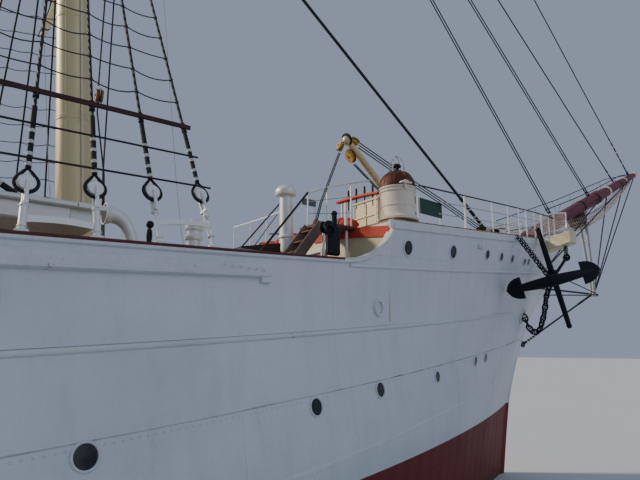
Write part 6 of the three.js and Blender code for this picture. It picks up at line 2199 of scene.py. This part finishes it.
@dataclass
class House(Assembly):
    """A deckhouse with panelled walls, doors, windows, a fascia in two steps and roof fittings."""

    size: HouseSize | None = None
    wall: Finish = FITTING_WHITE
    cowls: bool = False

    def build(self) -> None:
        """Lofts the walls down to the sloping deck, and dresses the roof, the sides and the ends."""
        h = self.size
        aft, fore = h.x - h.length / 2, h.x + h.length / 2
        roof = float(max(h.deck(aft), h.deck(fore))) + h.height
        half = h.width / 2
        ends = []
        for x in (aft, fore):
            z = float(h.deck(x)) + 0.009
            ends.append([(x, half, z), (x, half, roof), (x, -half, roof), (x, -half, z)])
        self.of(self.wall).loft(np.array(ends))
        middle = h.x + (h.over_fore - h.over) / 2
        long, wide = h.length + h.over + h.over_fore, h.width + h.over * 2
        self.of(self.wall).box((middle, 0, roof + 0.035), (long, wide, 0.09), edge=0.02)
        self.of(ROOF_GREY).box((middle, 0, roof + 0.08), (long - 0.14, wide - 0.14, 0.02), edge=0.008)
        if h.eave:
            for side in (-1, 1):
                end = middle + long / 2
                self.of(self.wall).box((end + 0.2, side * 1.8, roof + 0.04), (0.5, 2.1, 0.1), edge=0.015)
                self.of(self.wall).box((end + 0.12, side * 1.75, roof - 0.12), (0.5, 1.9, 0.24), edge=0.02)
            self.of(self.wall).box((middle, 0, roof - h.eave / 2), (long - 0.2, wide - 0.2, h.eave),
                                   edge=0.03)
        for x in np.arange(aft + 0.65, fore, 1.3):
            for side in (-1, 1):
                z = float(h.deck(x))
                self.of(self.wall).box((x - 0.65, side * half, (z + roof) / 2), (0.07, 0.05, roof - z - 0.1))
                if x < fore - 0.4:
                    self.window(np.array([x, side * half, z + 1.45]), PORT * side, 0.46, 0.46)
        for side in (-1, 1):
            z = float(h.deck(h.x))
            self.of(self.wall).box((h.x, side * (half + 0.005), z + 0.95), (h.length, 0.05, 0.06))
            self.of(TEAK).tube(spots(np.linspace(aft + 0.1, fore - 0.1, 8), side * (half + 0.1), z + 1.12),
                               0.022, 8)
        for x, out in ((aft, -FORWARD), (fore, FORWARD)):
            foot = float(h.deck(x))
            for y in (-h.width * 0.28, h.width * 0.28):
                self.door(np.array([x, y, foot]) + out * 0.02, out)
            self.window(np.array([x, 0, foot + 1.45]), out, 0.5, 0.46)
        if self.cowls:
            self.cowl_pair(roof + 0.05)

    def cowl_pair(self, roof: float) -> None:
        """Two ventilator cowls with red mouths that face forward."""
        for y in (-2.1, 2.1):
            path = curved([(x, y, roof + rise) for x, rise in (
                (18.1, 0), (18.1, 0.6), (18.1, 1.1), (18.25, 1.55), (18.62, 1.77), (18.93, 1.79))], 30)
            radius = np.interp(np.arange(30), [0, 16, 24, 29], [0.27, 0.27, 0.33, 0.45])
            self.of(FITTING_WHITE).tube(path, radius, 28)
            end, run = path[-1], unit(path[-1] - path[-2])
            self.of(FITTING_WHITE).hoop(end, run, 0.45, 0.025, 36)
            self.of(RED_LEAD).drum(end, run, 0.43, 0, 0.012, 32)


@dataclass
class Boat(Assembly):
    """A lifeboat under a white cover, in chocks with gripes."""

    spot: tuple[float, float, float] = (0.0, 0.0, 0.0)

    def build(self) -> None:
        """Lofts clinker sides and a cover with a ridge; half breadth is 1 less the distance^2.4."""
        x, y, z = self.spot
        t = np.linspace(-1, 1, 41)
        half = np.maximum(1 - np.abs(t) ** 2.4, 0.04)
        keel = z + 0.12 + 0.3 * np.abs(t) ** 4
        gunwale = z + 0.95 + 0.22 * t * t
        a = np.linspace(0, np.pi / 2, 15)
        lap = 1 + 0.014 * ((np.arange(15) % 3) / 2)
        side = spots(x + 3.6 * t[:, None], half[:, None] * np.maximum(np.sin(a), 0.05) * lap,
                     gunwale[:, None] - (gunwale - keel)[:, None] * np.cos(a))
        port = side + [0, y, 0]
        star = side * [1, -1, 1] + [0, y, 0]
        self.of(FITTING_WHITE).loft(np.concatenate([port, star[:, ::-1]], 1))
        b = np.linspace(0, np.pi, 13)
        cover = spots(x + 3.58 * t[:, None], y + half[:, None] * np.cos(b) * 1.02,
                      (gunwale - 0.02)[:, None] + (0.16 + 0.12 * half[:, None]) * np.sin(b) ** 0.8)
        self.of(COVER).loft(cover)
        rim = spots(x + 3.6 * t, half * 1.015, gunwale)
        for way in (-1, 1):
            self.of(TEAK).tube(rim * [1, way, 1] + [0, y, 0], 0.035, 8)
        for along in (-1.7, 1.7):
            self.of(TEAK).box((x + along, y, z + 0.09), (0.18, 1.3, 0.18))
            for way in (-1, 1):
                self.of(TEAK).plate([(0.08, 0.16), (0.62, 0.16), (0.62, 0.42), (0.3, 0.26)],
                                    (x + along, y, z), (0, way, 0), UP, 0.16)
            near = int(np.argmin(np.abs(3.6 * t - along)))
            self.of(HEMP).tube(cover[near] + UP * 0.02, 0.02, 6)


@dataclass
class Wheel(Assembly):
    """The spoked steering wheel with turned handles, felloes and a bronze boss."""

    def build(self) -> None:
        """Turns the rim and eight spokes about the fore-and-aft axis."""
        hub = np.array([-36.5, 0, float(poop_top(-36.5)) + 1.15])
        self.of(TEAK).band(hub, FORWARD, 0.58, 0.68, 0.035, 48)
        self.of(BRONZE).turned([(0.6, 0.032), (0.66, 0.032), (0.66, 0.042), (0.6, 0.042)], hub, FORWARD, 48,
                               loop=True)
        for turn in np.arange(8) * np.pi / 4:
            ray = np.array([0, np.cos(turn), np.sin(turn)])
            self.of(TEAK).turned([(0.02, 0.05), (0.02, 0.2), (0.028, 0.3), (0.018, 0.45), (0.026, 0.6),
                                  (0.016, 0.66),
                                  (0.024, 0.71), (0.012, 0.745), (0, 0.75)], hub, ray, 10)
        self.of(TEAK).drum(hub, FORWARD, 0.15, -0.06, 0.06, 32)
        self.of(BRONZE).turned([(0, -0.12), (0.09, -0.12), (0.11, -0.05), (0.11, 0.08), (0.05, 0.12),
                                (0, 0.12)], hub,
                               FORWARD, 24)


@dataclass
class Rudder(Assembly):
    """The plated rudder on its stock, with arms and pintles."""

    def build(self) -> None:
        """Tapers the blade towards its trailing edge and bolts arms over it."""
        outline = [(-35.25, -4.1), (-35.25, 0.9), (-36.15, 0.9), (-37, 0.1), (-37, -3.75)]
        form = self.of(HULL_RED)
        form.plate(outline[::-1], (0, 0, 0), FORWARD, UP, 0.2)
        form.bar((-35.25, 0, KEEL_Z + 0.173), (-35.25, 0, 2.6), 0.15, sides=28)
        for z in (-3.2, -2.1, -1.0, 0.1):
            form.box((-35.95, 0, z), (1.5, 0.25, 0.12), edge=0.03)
            form.drum((-35.25, 0, z), UP, 0.19, -0.12, 0.12)


@dataclass
class Propeller(Assembly):
    """The four-bladed bronze screw."""

    def build(self) -> None:
        """Each blade's face is pitched: its twist falls from root to tip."""
        hub = np.array([-33.75, 0, -2.1])
        self.of(BRONZE).turned([(0, -0.45), (0.07, -0.44), (0.12, -0.4), (0.17, -0.25), (0.2, 0.1),
                                (0.2, 0.597),
                                (0, 0.597)], hub, FORWARD, 32)
        r = np.linspace(0.12, 1.24, 12)
        swell, taper = np.clip((r + 0.1) / 1.42, 0, 1), np.clip((1.3 - r) / 0.28, 0, 1)
        width = 0.4 * np.sin(np.pi * swell) ** 0.7 * taper ** 0.5
        pitch = 0.72 - 0.22 * r
        for turn in np.arange(4) * np.pi / 2:
            ray = np.array([0, np.cos(turn), np.sin(turn)])
            side = np.cross(ray, FORWARD)
            a = 2 * np.pi * np.arange(14) / 14
            chord = side * np.cos(pitch)[:, None] + FORWARD * np.sin(pitch)[:, None]
            face = np.cross(ray, chord)
            rings = (hub + ray * r[:, None])[:, None] + chord[:, None] * (
                width[:, None] * np.cos(a))[..., None] + face[:, None] * (0.045 * np.sin(a))[:, None]
            self.of(BRONZE).loft(rings)


@dataclass
class AftSpar(Assembly):
    """The spanker's boom or gaff: a tapered spar with bands, and jaws on the mast's pivot."""

    s: float = 5.6
    length: float = 12.6
    rise: float = 3.0
    radius: float = 0.2

    def build(self) -> None:
        """Turns the spar from its yoke to its end."""
        m = MIZZEN
        axes = m.axes()
        angle = math.radians(self.rise)
        pivot = m.at(self.s, -PIVOT_OUT)
        run = np.array([-math.cos(angle), 0, math.sin(angle)])
        start, end = m.at(self.s, -PIVOT_OUT - 0.4), pivot + run * self.length
        t = np.linspace(0, 1, 24)
        r = self.radius * np.interp(t, [0, 0.45, 0.85, 1], [0.75, 1, 0.78, 0.6])
        self.of(BUFF).tube(between(start, end, t), r, 20)
        along = unit(end - start)
        for share in (0.06, 0.3, 0.62, 0.9):
            own = float(np.interp(share, t, r))
            self.of(IRON).band(between(start, end, share), along, own - 0.02, own + 0.016, 0.05)
        for low, high in ((-0.28, -0.1445), (0.1445, 0.28)):
            self.of(IRON).drum(pivot, axes[2], 0.14, low, high, 20)
            middle = self.s + (low + high) / 2
            self.of(IRON).bar(m.at(middle, -PIVOT_OUT), m.at(middle, -PIVOT_OUT - 0.4), 0.055)
        self.of(IRON).bar(m.at(self.s - 0.26, -PIVOT_OUT - 0.4), m.at(self.s + 0.26, -PIVOT_OUT - 0.4), 0.08,
                          sides=16)


# The whole ship
def sided(name: str) -> tuple[str, str]:
    """A node's starboard and port names."""
    return f"{name}_starboard", f"{name}_port"


def ship_parts() -> list[Assembly]:
    """Every assembly of the ship, with the nodes that it stands for."""
    parts: list[Assembly] = [
        Bottom("bottom", ("hull_bottom",)), Topsides("topsides", ("hull_topsides",)),
        Bulwarks("bulwarks", sided("bulwark")), Castle("forecastle", ("forecastle",)),
        Poop("poop", ("poop",)),
        Decks("decks", ("main_deck", "forecastle_deck", "poop_deck")),
        Bowsprit("bowsprit", ("bowsprit",)), Striker("striker", ("dolphin_striker",)),
        FineRigging("fine_rigging", tuple(f"{m.name}_mast" for m in MASTS)), Foredeck("foredeck"),
        Tower("lamp_tower", ("lamp_tower",)),
        Wheel("wheel", ("steering_wheel",), "steering_wheel"), Rudder("rudder", ("rudder",), "rudder"),
        Propeller("propeller", ("propeller",), "propeller"), Capstan("capstan", ("capstan",), "capstan"),
        FishDavit("fish_davit", ("fish_davit",), "fish_davit"),
        AftSpar("boom", ("spanker_boom",), "spanker_boom"),
        AftSpar("gaff", ("spanker_gaff",), "spanker_gaff", s=11.6, length=9.2, rise=38.0, radius=0.15)]
    for mast in MASTS:
        parts.append(MastWork(f"{mast.name}_mast", (f"{mast.name}_mast",), mast=mast))
        for yard in YARDS:
            node = f"{mast.name}_{yard.name}_yard"
            parts.append(YardWork(node, (node,), node, mast=mast, yard=yard))
    for node, head, foot, radius, doubled in stay_rows():
        parts.append(MainStay(node, (node,), head=head, foot=foot, radius=radius, doubled=doubled))
    sizes = {
        "fore": HouseSize(14.9, 9.4, 5.2, 2.3, deck_top, 0.25, 1.25, 0.3),
        "aft": HouseSize(-12.0, 7.0, 5.0, 2.3, deck_top, 0.25, 0.25),
        "chart": HouseSize(-27.0, 4.6, 3.4, 2.15, poop_top, 0.2, 0.2)}
    parts += [House("fore_house", ("fore_deckhouse",), size=sizes["fore"], cowls=True),
              House("aft_house", ("aft_deckhouse",), size=sizes["aft"]),
              House("chart_house", ("chart_house",), size=sizes["chart"], wall=TEAK)]
    for word, side in (("starboard", -1), ("port", 1)):
        parts.append(Anchor(f"anchor_{word}", (f"anchor_{word}",), side=side))
        for mast in MASTS:
            node = f"{mast.name}_shrouds_{word}"
            parts.append(Shrouds(node, (node,), mast=mast, side=side))
        for place, shift in (("fore", -0.9), ("aft", 0.0)):
            h = sizes[place]
            roof = float(max(h.deck(h.x - h.length / 2), h.deck(h.x + h.length / 2))) + h.height + 0.093
            node = f"{place}_boat_{word}"
            parts.append(Boat(node, (node,), spot=(h.x + shift, side * 1.45, roof)))
    return parts


@dataclass(frozen=True)
class Studio:
    """The pale floor, the soft lights and the camera of the photograph."""

    eye: tuple[float, float, float] = (1.888, -1.22, 0.428)
    heading: float = 53.0
    pitch: float = 11.7
    focal_pixels: float = 530.0

    def floor(self) -> None:
        """A plain floor at the waterline."""
        form = Form().box((0, 0, -0.5), (600, 600, 1.0))
        mesh = bpy.data.meshes.new("floor")
        mesh.from_pydata(np.concatenate(form.points) * METRE, [], [r for f in form.faces for r in f.tolist()])
        floor = bpy.data.objects.new("floor", mesh)
        bpy.context.scene.collection.objects.link(floor)
        mesh.materials.append(Plain("pale_floor", "fitting_white").material())

    def lights(self) -> None:
        """A soft sky, a key lamp from the port side aft, and a weak fill from starboard."""
        world = bpy.data.worlds.new("studio")
        world.use_nodes = True
        world.node_tree.nodes["Background"].inputs["Color"].default_value = (0.56, 0.66, 0.86, 1)
        world.node_tree.nodes["Background"].inputs["Strength"].default_value = 0.46
        bpy.context.scene.world = world
        for name, turn, power, size, colour in (("key", (62, 0, 226), 3.4, 8, (1.0, 0.87, 0.7)),
                                                ("fill", (62, 0, 20), 0.25, 30, (0.85, 0.9, 1.0))):
            lamp = bpy.data.lights.new(name, "SUN")
            lamp.energy, lamp.angle = power, math.radians(size)
            lamp.color = colour
            made = bpy.data.objects.new(name, lamp)
            made.rotation_euler = [math.radians(v) for v in turn]
            bpy.context.scene.collection.objects.link(made)

    def camera(self) -> None:
        """The photograph's camera: a pinhole that looks to port of forward and a little up."""
        data = bpy.data.cameras.new("camera")
        data.lens = self.focal_pixels / 640 * data.sensor_width
        data.clip_start, data.clip_end = 0.02, 200
        made = bpy.data.objects.new("camera", data)
        made.location = self.eye
        made.rotation_euler = (math.radians(90 + self.pitch), 0, math.radians(self.heading - 90))
        bpy.context.scene.collection.objects.link(made)
        bpy.context.scene.camera = made


@dataclass(frozen=True)
class Plain(Finish):
    """A pale matt floor."""

    def make(self, g: Graph) -> bpy.types.Material:
        """Slight clouds in a pale grey."""
        cloud = g.noise(g.place(), 0.2, 3)
        return g.surface(Base_Color=g.blend(cloud * 0.3, (0.62, 0.64, 0.66), (0.52, 0.54, 0.56)),
                         Roughness=0.7)


def main() -> None:
    """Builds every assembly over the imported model, and the studio round it."""
    logging.basicConfig(level=logging.INFO, format="%(message)s")
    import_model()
    for part in ship_parts():
        part.build()
        part.dress()
    studio = Studio()
    studio.floor()
    studio.lights()
    studio.camera()


if __name__ == "__main__":
    main()
